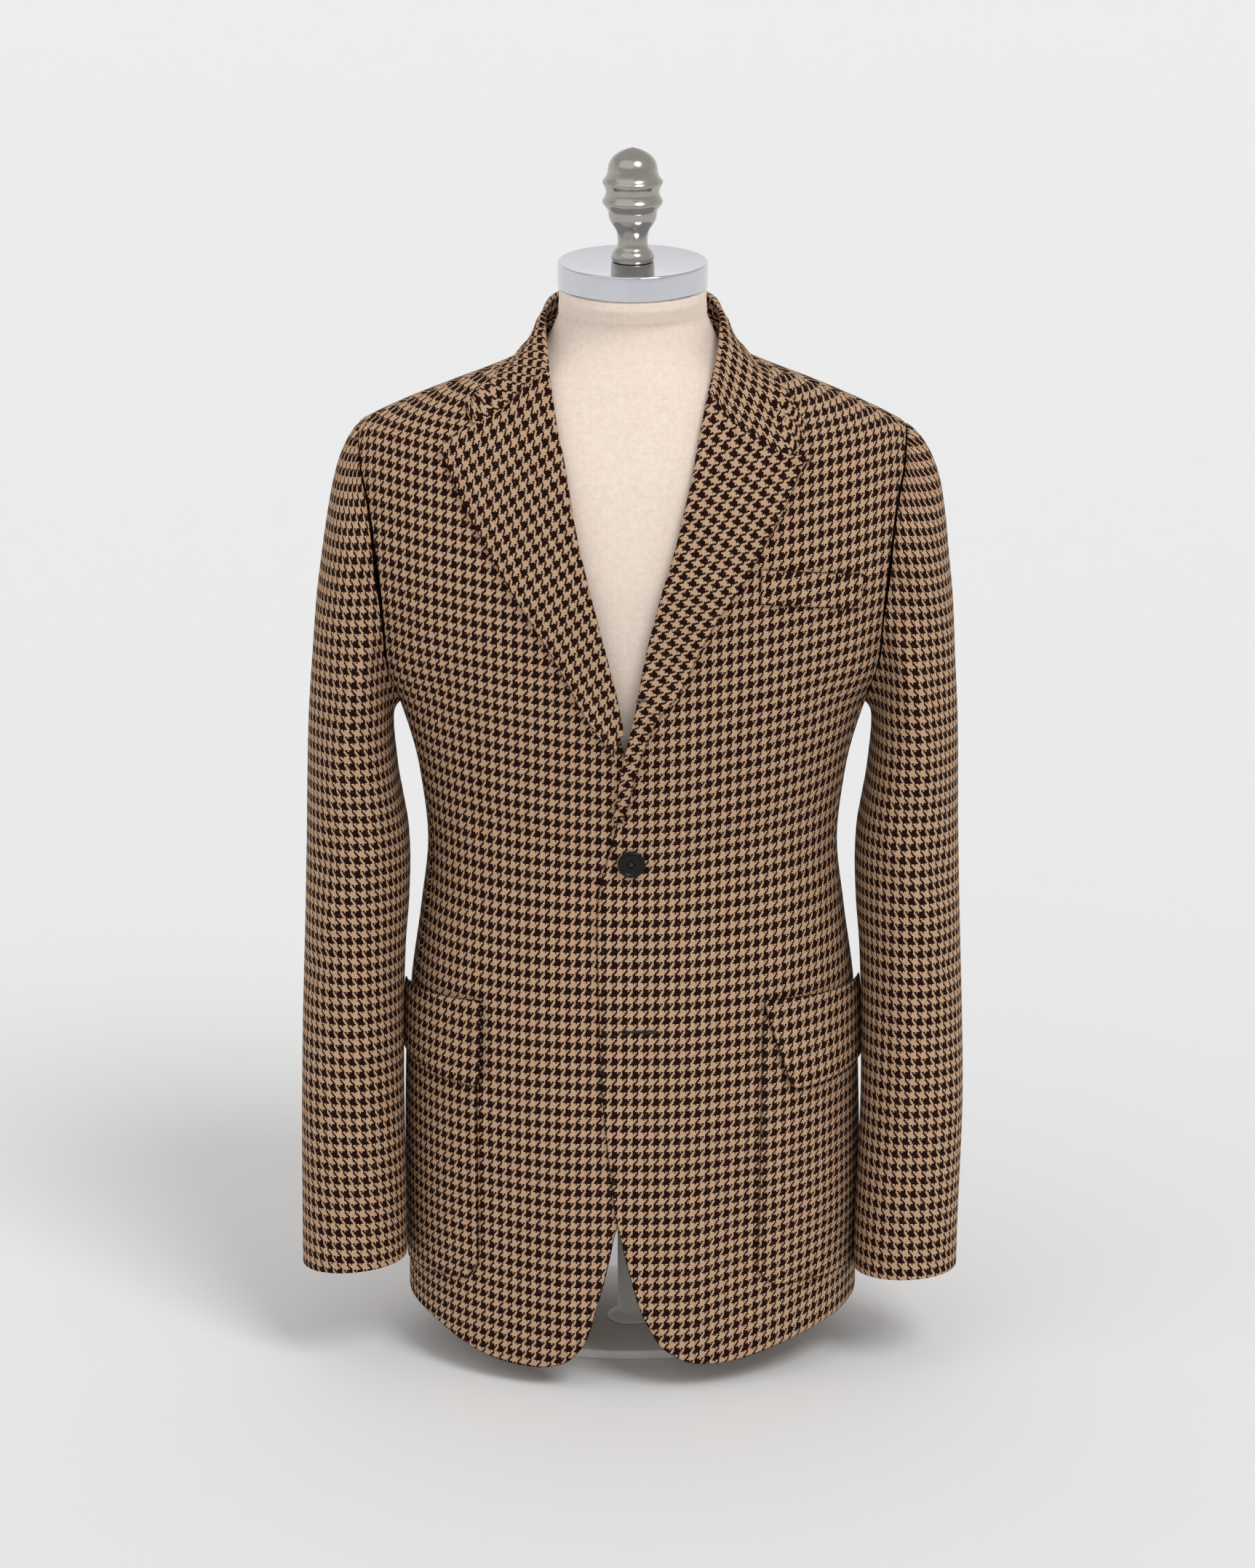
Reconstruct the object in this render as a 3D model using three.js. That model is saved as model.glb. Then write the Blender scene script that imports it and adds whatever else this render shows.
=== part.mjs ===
// A single-breasted houndstooth sport coat worn on a limbless dress form.
// Units are millimetres. +Z is up, the front faces -Y, and +X is the wearer's left.
// The origin is on the underside of the base plate, below the column.
import * as THREE from 'three';

// Driving dimensions
const clothThickness = 2;
const seamGap = 0.3;
const layerGap = 1.1;
const rollRadius = 3;
const rollClearance = 0.9;
const gorgeGap = 0.25;
const collarFootGap = 0.7;
const collarLayerGap = 2.1;
const overlapLift = 3.1;
const neckSideHeight = 833;
const neckBackHeight = 838;
const sideHemHeight = 41;
const backHemHeight = 38;
const frontSeam = 0.86;
const backSeam = 1.24;
const seamTurnGap = 0.0015;
const armholeTop = { x: 214, z: 759 };
const armholeFoot = { x: 184, z: 534 };
const armholeHalfDepth = 60;
const armholeReach = 0.31;
const sleeveHeadGap = 0.4;
const sleeveHeadSwell = 1.5;
const sleeveSeamAngle = 122;
const sleeveLean = { most: 0.1, from: 600, full: 400 };
const leftCuffSwing = { from: 240, outX: -4.5, inX: -3.4, outZ: -1, inZ: -11.5 };
const pocketRear = 0.93;
const flapRear = 0.94;
const buttonDiameter = 21.7;
const button = { x: -1, z: 435, seat: 1.2 };
const torsoBottom = 138;
const neckRadius = 57.5;
const neckTop = 869;
const neckCollarHeight = 9;
const capRadius = 58.7;
const capThickness = 20;
const columnRadius = 12;
const columnFlange = { radius: 20, rim: 3, height: 8 };
const plateThickness = 8;
const plateHalfWidth = 140;
const plateHalfDepth = 95;
const plateSetBack = 20;

// Horizontal sections of the coat's body: half width, depth to the front and back, and corner power.
const bodySections = [
  { z: 0, halfWidth: 181, front: 143, back: 122, power: 2.2 },
  { z: 36, halfWidth: 181, front: 143, back: 122, power: 2.2 },
  { z: 150, halfWidth: 181, front: 139, back: 120, power: 2.2 },
  { z: 290, halfWidth: 178, front: 131, back: 116, power: 2.2 },
  { z: 363, halfWidth: 169, front: 121, back: 105, power: 2.2 },
  { z: 420, halfWidth: 163, front: 115, back: 97, power: 2.2 },
  { z: 478, halfWidth: 169, front: 118, back: 101, power: 2.2 },
  { z: 535, halfWidth: 184, front: 124, back: 110, power: 2.2 },
  { z: 592, halfWidth: 211, front: 127, back: 115, power: 2.2 },
  { z: 650, halfWidth: 222, front: 125, back: 118, power: 2.2 },
  { z: 688, halfWidth: 225, front: 118, back: 116, power: 2.1 },
  { z: 726, halfWidth: 224.5, front: 106, back: 110, power: 1.95 },
  { z: 745, halfWidth: 220, front: 98, back: 105, power: 1.88 },
  { z: 759, halfWidth: 214, front: 91, back: 101, power: 1.84 },
  { z: 763, halfWidth: 207, front: 89, back: 100, power: 1.83 },
  { z: 776, halfWidth: 180, front: 82, back: 95, power: 1.8 },
  { z: 790.5, halfWidth: 145, front: 74.2, back: 88.2, power: 1.8 },
  { z: 805, halfWidth: 108, front: 67.8, back: 80.8, power: 1.8 },
  { z: 815, halfWidth: 87, front: 64, back: 76, power: 1.8 },
  { z: 826, halfWidth: 77, front: 61, back: 71, power: 1.8 },
  { z: 838, halfWidth: 72, front: 59, back: 66, power: 1.8 },
  { z: 856, halfWidth: 66, front: 58, back: 61, power: 1.8 },
];

// Front edge and roll line: distance of the edge out from the centre, for each side, up the coat.
const edgeRows = [
  { z: 39, left: 22, right: 38 },
  { z: 55, left: 12.7, right: 32.6 },
  { z: 70, left: 6, right: 28.5 },
  { z: 86, left: 1.2, right: 24 },
  { z: 101, left: -2.8, right: 20.4 },
  { z: 117, left: -6.5, right: 17 },
  { z: 132, left: -10, right: 14 },
  { z: 146, left: -13.3, right: 8.5 },
  { z: 172, left: -16.3, right: -2 },
  { z: 215, left: -21, right: -12 },
  { z: 260, left: -24.5, right: -18 },
  { z: 300, left: -26, right: -20 },
  { z: 412, left: -26, right: -20 },
  { z: 440, left: -22.5, right: -15 },
  { z: 464, left: -16.8, right: -9.5 },
  { z: 493, left: -11.6, right: -4 },
  { z: 517, left: -8.2, right: 0.5 },
  { z: 532, left: -4.8, right: 4.6 },
  { z: 561, left: 1.9, right: 9.6 },
  { z: 585, left: 6, right: 15 },
  { z: 608, left: 10.3, right: 20.6 },
  { z: 635, left: 17, right: 27.5 },
  { z: 661, left: 24, right: 34 },
  { z: 690, left: 33, right: 41 },
  { z: 714, left: 39, right: 46 },
  { z: 736, left: 44.5, right: 49.6 },
  { z: 758, left: 49, right: 54 },
  { z: 777, left: 53, right: 58.5 },
  { z: 797, left: 57.7, right: 61.8 },
  { z: 811, left: 60.5, right: 64.4 },
];

// Hem of each front, from the foot of the curved edge to the side seam.
const hemRows = [
  { out: 22, left: 39, right: 50 },
  { out: 38, left: 27.5, right: 39 },
  { out: 52, left: 23.2, right: 24 },
  { out: 69, left: 21.4, right: 18 },
  { out: 92, left: 24, right: 17.5 },
  { out: 115, left: 29, right: 20.5 },
  { out: 135, left: 33.5, right: 26.5 },
  { out: 152, left: 37, right: 34 },
  { out: 168, left: 39.5, right: 39.5 },
];

// What differs between the two fronts, measured out from the centre and up.
const fronts = [
  {
    name: 'left', side: 1, lifted: true, gorgeStart: 797, rollFoot: 470, straightBelow: 412,
    gorge: [[73, 779], [94.6, 765], [119.4, 752.6]], tip: [139, 751], corner: [132.6, 768.5],
    lapelEdge: [
      [-8.4, 470], [-2.3, 490], [3.5, 514], [9.5, 533], [19.4, 556], [36.2, 577], [50.5, 607],
      [66, 635], [86, 663], [100.5, 687.5], [116.3, 714], [129.4, 741],
    ],
    pocket: { frontTop: 102, frontBottom: 98.7, top: 304, bottomFront: 83, bottomRear: 73 },
    flap: {
      frontTop: 101, frontBottom: 121, topFront: 319, topRear: 309, bottomFront: 244, bottomRear: 245,
    },
  },
  {
    name: 'right', side: -1, lifted: false, gorgeStart: 811, rollFoot: 541, straightBelow: 470,
    gorge: [[78.6, 801], [96.6, 785.6], [120.3, 772.8]], tip: [148, 756.5], corner: [128.9, 782.6],
    lapelEdge: [
      [14.5, 524], [26.3, 540.7], [38.1, 559], [49.3, 582], [66.6, 613], [87.9, 647],
      [106.4, 677.5], [125.2, 709], [141.2, 740],
    ],
    pocket: { frontTop: 121, frontBottom: 122, top: 304, bottomFront: 84, bottomRear: 72 },
    flap: {
      frontTop: 117.5, frontBottom: 117.5, topFront: 316, topRear: 306, bottomFront: 246, bottomRear: 253,
    },
  },
];
const breastWelt = { frontOut: 98.5, rearOut: 177, bottomFront: 644, bottomRear: 632, height: 27.3 };

// Collar, from the gorge round to the centre back, on one side of the neck: the foot of the stand on
// the neckline, the crease, and the outer edge of the fall. out is the distance from the centre.
const collarRows = [
  { onBack: false, footOut: 68, footZ: 822, crease: [64.5, -36, 825], fallOut: 118, fallZ: 793 },
  { onBack: false, footOut: 71, footZ: 828.5, crease: [66, -20, 836], fallOut: 102, fallZ: 805 },
  { onBack: false, footOut: 74, footZ: 833, crease: [66.5, -4, 843.5], fallOut: 88.3, fallZ: 814.1 },
  { onBack: true, footOut: 72.5, footZ: 833.8, crease: [65.5, 14, 849], fallOut: 82, fallZ: 815.5 },
  { onBack: true, footOut: 64, footZ: 835.3, crease: [59.5, 34, 853], fallOut: 75, fallZ: 815.5 },
  { onBack: true, footOut: 48, footZ: 836.6, crease: [46.5, 51.5, 856.5], fallOut: 58, fallZ: 817.5 },
  { onBack: true, footOut: 27, footZ: 837.6, crease: [26, 62.5, 858.8], fallOut: 32, fallZ: 820 },
  { onBack: true, footOut: 0, footZ: 838, crease: [0, 66, 859.5], fallOut: 0, fallZ: 822 },
];

// Sleeve rings: outermost and innermost point, middle and half depth front to back, how far the ring
// has turned from the armhole's own outline to a plain oval, and the left sleeve's extra fullness.
const sleeveRings = [
  { outX: 216.5, outZ: 757, inX: 187, inZ: 530.5, middle: -2.5, halfDepth: 62, oval: 0.25, leftFull: 1 },
  { outX: 222.5, outZ: 748.5, inX: 189, inZ: 525, middle: -2.5, halfDepth: 64, oval: 0.5, leftFull: 3.5 },
  { outX: 229.6, outZ: 733, inX: 189.5, inZ: 518, middle: -3, halfDepth: 67, oval: 0.75, leftFull: 5.5 },
  { outX: 235, outZ: 714, inX: 189.3, inZ: 509, middle: -3, halfDepth: 69, oval: 1, leftFull: 6.5 },
  { outX: 240, outZ: 687, inX: 188.5, inZ: 498, middle: -3.5, halfDepth: 71, oval: 1, leftFull: 5.8 },
  { outX: 245, outZ: 653, inX: 187, inZ: 484, middle: -4, halfDepth: 72, oval: 1, leftFull: 4.2 },
  { outX: 249.5, outZ: 617, inX: 185, inZ: 468, middle: -5, halfDepth: 72.5, oval: 1, leftFull: 3.2 },
  { outX: 252.5, outZ: 576, inX: 181.5, inZ: 449, middle: -6.5, halfDepth: 72.5, oval: 1, leftFull: 2 },
  { outX: 255.5, outZ: 530, inX: 178, inZ: 428, middle: -9, halfDepth: 71.5, oval: 1, leftFull: 1 },
  { outX: 257.5, outZ: 480, inX: 177, inZ: 404, middle: -12, halfDepth: 69.5, oval: 1, leftFull: 0.4 },
  { outX: 259, outZ: 426, inX: 178, inZ: 374, middle: -16.5, halfDepth: 67, oval: 1, leftFull: 0 },
  { outX: 260.5, outZ: 367, inX: 181, inZ: 335, middle: -23, halfDepth: 64, oval: 1, leftFull: 0 },
  { outX: 262.5, outZ: 306, inX: 182.5, inZ: 286, middle: -31, halfDepth: 61, oval: 1, leftFull: 0 },
  { outX: 264, outZ: 246, inX: 182.8, inZ: 235, middle: -39, halfDepth: 58, oval: 1, leftFull: 0 },
  { outX: 264.8, outZ: 187, inX: 182.2, inZ: 182, middle: -46, halfDepth: 55.5, oval: 1, leftFull: 0 },
  { outX: 265, outZ: 130, inX: 181.5, inZ: 130, middle: -51.5, halfDepth: 53, oval: 1, leftFull: 0 },
  { outX: 265, outZ: 79, inX: 181.5, inZ: 86, middle: -56, halfDepth: 51, oval: 1, leftFull: 0 },
];

// Points across the lapel: angles round its nose, then shares out to its edge, one at the notch.
const lapelNoseAngles = [-90, -40, 10, 55, 90];
const lapelShares = [0.22, 0.45, 0.72, 0.86, 1];
const notchShare = 0.72;
const cornerShare = 0.5;

// Points across the collar: angles round its crease, then shares down its fall.
const creaseAngles = [180, 135, 90, 50, 15];
const fallShares = [0.25, 0.5, 0.76, 1];

// How far the form lies inside the coat's outer surface, up the form.
const formRows = [
  { z: 138, inset: 14 }, { z: 200, inset: 14 }, { z: 270, inset: 13 }, { z: 330, inset: 11 },
  { z: 380, inset: 9 }, { z: 420, inset: 8 }, { z: 460, inset: 8 }, { z: 500, inset: 8 },
  { z: 540, inset: 8 }, { z: 580, inset: 7.5 }, { z: 620, inset: 7 }, { z: 660, inset: 6 },
  { z: 695, inset: 5 }, { z: 720, inset: 4 }, { z: 740, inset: 3 }, { z: 752, inset: 2.8 },
  { z: 761, inset: 2.8 }, { z: 769, inset: 2.8 }, { z: 778, inset: 2.8 }, { z: 788, inset: 2.8 },
  { z: 798, inset: 2.9 }, { z: 807, inset: 3.2 }, { z: 815, inset: 5 }, { z: 826, inset: 8 },
  { z: 838, inset: 9.5 }, { z: 850, inset: 9.5 },
];
const armPlateFoot = 177;
const armPlateLean = 0.13;
const formSlack = 3;
const levelInsetBelow = 500;

// Rows of the body panels: up the side seams, then round the armhole as shares of its arc.
const seamRows = 13;
const armholeRowShares = [1, 0.85, 0.71, 0.58, 0.46, 0.355, 0.265, 0.185, 0.12, 0.06, 0];

// Turned profile of the finial: height above the cap and radius.
const finialProfile = [
  [0, 16.2], [3.5, 16.7], [7.3, 15.3], [10.5, 12.6], [13.6, 11.7], [22.4, 12.4], [26.2, 14.1],
  [30, 16.7], [33.7, 18.3], [40, 19.4], [42.5, 21], [47, 23.6], [50.6, 22], [54.4, 20.8],
  [58.3, 21.8], [62.6, 23.6],
  [66.5, 21], [70.2, 19.7], [76.4, 18.7], [81.6, 15.8], [85.4, 11], [87.9, 5.7], [89.4, 0],
];

const armholeMiddle = (armholeTop.z + armholeFoot.z) / 2;
const armholeHalfHeight = (armholeTop.z - armholeFoot.z) / 2;

const tweed = { color: 0x7d5f45, roughness: 0.95, metalness: 0 };
const horn = { color: 0x231b18, roughness: 0.4, metalness: 0 };
const linen = { color: 0xe6dccb, roughness: 0.9, metalness: 0 };
const chrome = { color: 0xd8dbdf, roughness: 0.08, metalness: 1 };
const nickel = { color: 0xa79f94, roughness: 0.3, metalness: 1 };
const paintedSteel = { color: 0xe9e9e7, roughness: 0.5, metalness: 0 };

const coat = new THREE.Group();

function addMesh(name, geometry, finish) {
  const mesh = new THREE.Mesh(geometry, new THREE.MeshStandardMaterial(finish));
  mesh.name = name;
  coat.add(mesh);
  return mesh;
}

// Value of a column at a height, on a smooth curve through the rows that never overshoots them.
function columnAt(rows, column, z) {
  const last = rows.length - 1;
  if (z <= rows[0].z) return rows[0][column];
  if (z >= rows[last].z) return rows[last][column];
  const rise = (k) => (rows[k + 1][column] - rows[k][column]) / (rows[k + 1].z - rows[k].z);
  const slope = (k) => {
    if (k === 0 || k === last) return 0;
    const below = rise(k - 1);
    const above = rise(k);
    if (below * above <= 0) return 0;
    const lower = rows[k].z - rows[k - 1].z;
    const upper = rows[k + 1].z - rows[k].z;
    return (3 * (lower + upper)) / ((2 * upper + lower) / below + (upper + 2 * lower) / above);
  };
  const k = rows.findIndex((row, index) => index < last && z < rows[index + 1].z);
  const step = rows[k + 1].z - rows[k].z;
  const t = (z - rows[k].z) / step;
  return (
    (2 * t ** 3 - 3 * t ** 2 + 1) * rows[k][column] +
    (t ** 3 - 2 * t ** 2 + t) * step * slope(k) +
    (3 * t ** 2 - 2 * t ** 3) * rows[k + 1][column] +
    (t ** 3 - t ** 2) * step * slope(k + 1)
  );
}

function sectionAt(z) {
  return {
    halfWidth: columnAt(bodySections, 'halfWidth', z),
    front: columnAt(bodySections, 'front', z),
    back: columnAt(bodySections, 'back', z),
    power: columnAt(bodySections, 'power', z),
  };
}

// Point of the body's outer surface above the plan point x at a height, on its front or its back.
function bodyPoint(x, z, onBack = false) {
  const section = sectionAt(z);
  const across = Math.min(1, Math.abs(x) / section.halfWidth);
  const depth = (1 - across ** section.power) ** (1 / section.power);
  const y = onBack ? section.back * depth : -section.front * depth;
  return new THREE.Vector3(Math.sign(x) * across * section.halfWidth, y, z);
}

// The same surface by turn: 0 is the centre front, 1 the side and shoulder ridge, 2 the centre back.
function turnPoint(turn, z, side = 1) {
  const section = sectionAt(z);
  const angle = (turn * Math.PI) / 2;
  const across = Math.abs(Math.sin(angle)) ** (2 / section.power);
  const along = Math.abs(Math.cos(angle)) ** (2 / section.power);
  const y = Math.cos(angle) < 0 ? section.back * along : -section.front * along;
  return new THREE.Vector3(side * section.halfWidth * across, y, z);
}

// How far out a point is, as a share of the section it lies in: 1 is on the surface.
function outwardness(x, y, z) {
  const section = sectionAt(z);
  const depth = y < 0 ? section.front : section.back;
  return (
    (Math.abs(x) / section.halfWidth) ** section.power + (Math.abs(y) / depth) ** section.power
  ) ** (1 / section.power);
}

function outwardSlope({ x, y, z }) {
  const step = 0.05;
  return new THREE.Vector3(
    outwardness(x + step, y, z) - outwardness(x - step, y, z),
    outwardness(x, y + step, z) - outwardness(x, y - step, z),
    outwardness(x, y, z + step) - outwardness(x, y, z - step),
  ).multiplyScalar(0.5 / step);
}

function surfaceNormal(point) {
  return outwardSlope(point).normalize();
}

// Distance of a point from the body's surface, positive outside it.
function clearance(point) {
  return (outwardness(point.x, point.y, point.z) - 1) / outwardSlope(point).length();
}

function smoothStep(from, to, value) {
  const t = THREE.MathUtils.clamp((value - from) / (to - from), 0, 1);
  return t * t * (3 - 2 * t);
}

// The wearer's left front is lifted over the right front near the centre, below the crossing.
function liftAt(x, z) {
  return overlapLift * (1 - smoothStep(32, 80, x)) * (1 - smoothStep(530, 595, z));
}

function offsetPoint(x, z, height, lifted) {
  const base = bodyPoint(x, z);
  return base.addScaledVector(surfaceNormal(base), height + (lifted ? liftAt(x, z) : 0));
}

// A closed wall between two equal grids of points, its rims included and its faces turned outwards.
function wallGeometry(outer, inner) {
  const rowCount = outer.length;
  const columnCount = outer[0].length;
  const innerStart = rowCount * columnCount;
  const at = (row, column, start) => start + row * columnCount + column;
  const triangles = [];
  const addQuad = (a, b, c, d) => triangles.push(a, b, c, a, c, d);
  for (let row = 0; row < rowCount - 1; row += 1) {
    for (let column = 0; column < columnCount - 1; column += 1) {
      const corners = [[row, column], [row, column + 1], [row + 1, column + 1], [row + 1, column]];
      addQuad(...corners.map(([r, k]) => at(r, k, 0)));
      addQuad(...corners.map(([r, k]) => at(r, k, innerStart)).reverse());
    }
  }
  const rim = [];
  for (let column = 0; column < columnCount - 1; column += 1) rim.push([0, column]);
  for (let row = 0; row < rowCount - 1; row += 1) rim.push([row, columnCount - 1]);
  for (let column = columnCount - 1; column > 0; column -= 1) rim.push([rowCount - 1, column]);
  for (let row = rowCount - 1; row > 0; row -= 1) rim.push([row, 0]);
  rim.forEach(([row, column], index) => {
    const [nextRow, nextColumn] = rim[(index + 1) % rim.length];
    addQuad(
      at(nextRow, nextColumn, 0), at(row, column, 0),
      at(row, column, innerStart), at(nextRow, nextColumn, innerStart),
    );
  });
  return closedGeometry([...outer.flat(), ...inner.flat()], triangles);
}

// Geometry through points and triangle indices, turned so that its faces look outwards.
function closedGeometry(points, triangles) {
  const geometry = new THREE.BufferGeometry().setFromPoints(points);
  geometry.setIndex(triangles);
  const position = geometry.getAttribute('position');
  const index = geometry.getIndex();
  const [a, b, c] = [new THREE.Vector3(), new THREE.Vector3(), new THREE.Vector3()];
  let volume = 0;
  for (let i = 0; i < index.count; i += 3) {
    a.fromBufferAttribute(position, index.getX(i));
    b.fromBufferAttribute(position, index.getX(i + 1));
    c.fromBufferAttribute(position, index.getX(i + 2));
    volume += a.dot(b.cross(c));
  }
  if (volume < 0) index.array.forEach((value, i, all) => {
    if (i % 3 === 1) [all[i], all[i + 1]] = [all[i + 1], value];
  });
  geometry.computeVertexNormals();
  return geometry;
}

// A closed solid through rings of points from bottom to top, with flat ends.
function ringSolid(rings) {
  const count = rings[0].length;
  const centre = (ring) => ring.reduce((sum, p) => sum.add(p), new THREE.Vector3()).divideScalar(count);
  const points = [...rings.flat(), centre(rings[0]), centre(rings.at(-1))];
  const foot = points.length - 2;
  const head = points.length - 1;
  const topStart = (rings.length - 1) * count;
  const triangles = [];
  for (let column = 0; column < count; column += 1) {
    const next = (column + 1) % count;
    for (let row = 0; row < rings.length - 1; row += 1) {
      const a = row * count + column;
      const b = row * count + next;
      triangles.push(a, b, b + count, a, b + count, a + count);
    }
    triangles.push(foot, next, column, head, topStart + column, topStart + next);
  }
  return closedGeometry(points, triangles);
}

// Smooth plane curve through [out, up] points, read by its share of the length.
function planeCurve(points) {
  const curve = new THREE.CatmullRomCurve3(
    points.map(([out, up]) => new THREE.Vector3(out, up, 0)), false, 'centripetal',
  );
  return (share) => curve.getPointAt(THREE.MathUtils.clamp(share, 0, 1));
}

// Point inside four plane curves: foot and head run outwards, inside and outside run upwards.
function patchPoint(foot, head, insidePoint, outsidePoint, s, t) {
  const mix = (a, b, share) => a.clone().lerp(b, share);
  const acrossRows = mix(foot(s), head(s), t);
  const acrossColumns = mix(insidePoint, outsidePoint, s);
  const corners = mix(mix(foot(0), foot(1), s), mix(head(0), head(1), s), t);
  return acrossRows.add(acrossColumns).sub(corners);
}

// Shares across a panel, closer together towards the side where the body turns.
function panelColumns(count) {
  const sweep = THREE.MathUtils.degToRad(80);
  return Array.from({ length: count + 1 }, (_, k) => Math.sin((sweep * k) / count) / Math.sin(sweep));
}

// Armhole outline: 0 degrees is the shoulder point, 90 the front, 180 the underarm, 270 the back.
function armholePoint(degrees, side = 1) {
  const angle = THREE.MathUtils.degToRad(degrees);
  const turn = 1 - armholeReach * Math.sin(angle);
  return turnPoint(turn, armholeMiddle + armholeHalfHeight * Math.cos(angle), side);
}

// Height of the armhole's lower edge at a turn.
function armholeHeightAt(turn) {
  const reach = Math.min(1, Math.abs(1 - turn) / armholeReach);
  return armholeMiddle - armholeHalfHeight * Math.sqrt(1 - reach ** 2);
}

// Outer edge of a panel, row by row: the side seam from the hem up to the armhole, then the armhole's
// edge up to the shoulder point. Each row has its plan point and its share of the edge's length.
function outsideRows(turn) {
  const points = [];
  for (let k = 0; k < seamRows; k += 1) points.push(turnPoint(turn, seamHeight(turn, k / seamRows)));
  const corner = 180 - THREE.MathUtils.radToDeg(Math.asin(Math.abs(1 - turn) / armholeReach));
  armholeRowShares.forEach((share) => points.push(armholePoint(corner * share)));
  let length = 0;
  const lengths = points.map((point, k) => {
    if (k > 0) length += Math.hypot(point.x - points[k - 1].x, point.z - points[k - 1].z);
    return length;
  });
  return points.map((point, k) => (
    { plan: new THREE.Vector3(point.x, point.z, 0), share: lengths[k] / length }
  ));
}

function seamHeight(turn, share) {
  return THREE.MathUtils.lerp(sideHemHeight, armholeHeightAt(turn), share);
}

// Shoulder seam from the side of the neck out to the shoulder point, read more closely at the neck.
function shoulderSeam() {
  const closeness = 1.25;
  const between = [829, 826, 822, 818, 815, 811, 807, 800, 793, 785, 778, 770, 763];
  const heights = [neckSideHeight, ...between, armholeTop.z];
  const seam = planeCurve(heights.map((z) => [sectionAt(z).halfWidth, z]));
  return (share) => seam(share ** closeness);
}

// Distance of a front's edge or roll line out from the centre.
function edgeOut(front, z) {
  return columnAt(edgeRows, front.name, z);
}

// Inner outline of a front: its curved edge, the roll line and the neckline under the collar.
function frontOutline(front) {
  const insetFrom = front.rollFoot - 25;
  const inset = (z) => (rollRadius + rollClearance) * smoothStep(front.straightBelow, insetFrom, z);
  const edge = edgeRows
    .filter((row) => row.z <= front.gorgeStart)
    .map((row) => [row[front.name] + inset(row.z), row.z]);
  const neckline = [[67, 812], [68.5, 822], [71, 828.5]].filter(([, z]) => z > front.gorgeStart + 5);
  return [...edge, ...neckline, [sectionAt(neckSideHeight).halfWidth, neckSideHeight]];
}

function buildFront(front) {
  const outline = frontOutline(front);
  const seamTurn = frontSeam - seamTurnGap;
  const rows = outsideRows(seamTurn);
  const hem = hemRows
    .filter((row) => row.out > outline[0][0] + 8)
    .map((row) => [row.out, row[front.name]]);
  const foot = planeCurve([outline[0], ...hem, [rows[0].plan.x, sideHemHeight]]);
  const inside = planeCurve(outline);
  const head = shoulderSeam();
  const outer = rows.map(({ plan, share }) => panelColumns(10).map((s) => {
    const flat = patchPoint(foot, head, inside(share), plan, s, share);
    return bodyPoint(flat.x, flat.y);
  }));
  placePanel(`front_${front.name}`, outer, front.side, -seamGap / 2, front.lifted);
}

// Adds a body panel from its points on the body: a wall inwards from them, mirrored to its side,
// lifted where it laps over, and moved off the shoulder seam.
function placePanel(name, points, side, shiftY, lifted = false) {
  const normals = points.map((row) => row.map(surfaceNormal));
  const lifts = points.map((row) => row.map((point) => (lifted ? liftAt(point.x, point.z) : 0)));
  const layer = (depth) => points.map((row, j) =>
    row.map((point, k) => point.clone().addScaledVector(normals[j][k], lifts[j][k] - depth)),
  );
  placeWall(name, layer(0), layer(clothThickness), side, shiftY);
}

// Mirrors a wall to its side, moves it off the shoulder seam and adds it.
function placeWall(name, outer, inner, side, shiftY = 0) {
  [...outer.flat(), ...inner.flat()].forEach((point) => {
    point.x *= side;
    point.y += shiftY;
  });
  addMesh(name, wallGeometry(outer, inner), tweed);
}

function buildBack(name, side) {
  const seamTurn = backSeam + seamTurnGap;
  const rows = outsideRows(seamTurn);
  const centre = seamGap / 2;
  const foot = planeCurve([
    [centre, backHemHeight], [60, backHemHeight], [120, backHemHeight + 1], [rows[0].plan.x, sideHemHeight],
  ]);
  const columns = panelColumns(12);
  const neckColumn = 3;
  const neckShare = columns[neckColumn];
  const neckline = planeCurve([
    [centre, neckBackHeight], [28, 837.6], [50, 836.4], [64, 835.2],
    [sectionAt(neckSideHeight).halfWidth, neckSideHeight],
  ]);
  const shoulder = shoulderSeam();
  const head = (share) => share <= neckShare
    ? neckline(share / neckShare)
    : shoulder((share - neckShare) / (1 - neckShare));
  const inside = planeCurve([backHemHeight, 300, 600, neckBackHeight].map((z) => [centre, z]));
  const outer = rows.map(({ plan, share }) => columns.map((s) => {
    const flat = patchPoint(foot, head, inside(share), plan, s, share);
    return bodyPoint(Math.max(flat.x, centre), flat.y, true);
  }));
  placePanel(name, outer, side, seamGap / 2);
}

function buildSide(name, side) {
  const columns = 5;
  const outer = [];
  for (let j = 0; j <= seamRows; j += 1) {
    outer.push(Array.from({ length: columns + 1 }, (_, k) => {
      const turn = THREE.MathUtils.lerp(frontSeam + seamTurnGap, backSeam - seamTurnGap, k / columns);
      return turnPoint(turn, seamHeight(turn, j / seamRows));
    }));
  }
  placePanel(name, outer, side, 0);
}

// Frame of the roll line at a plan point: where it is, and the way across towards the lapel's edge.
function rollFrame(front, roll, t) {
  const here = roll(t);
  const place = (plan) => offsetPoint(plan.x, plan.y, 0, front.lifted);
  const base = place(here);
  const along = place(roll(t + 0.01)).sub(place(roll(t - 0.01))).normalize();
  const normal = surfaceNormal(base);
  const across = new THREE.Vector3().crossVectors(normal, along);
  if (across.x < 0) across.negate();
  const centre = base.clone().addScaledVector(across, rollRadius)
    .addScaledVector(normal, rollRadius - clothThickness);
  return { here, normal, across, centre };
}

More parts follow.
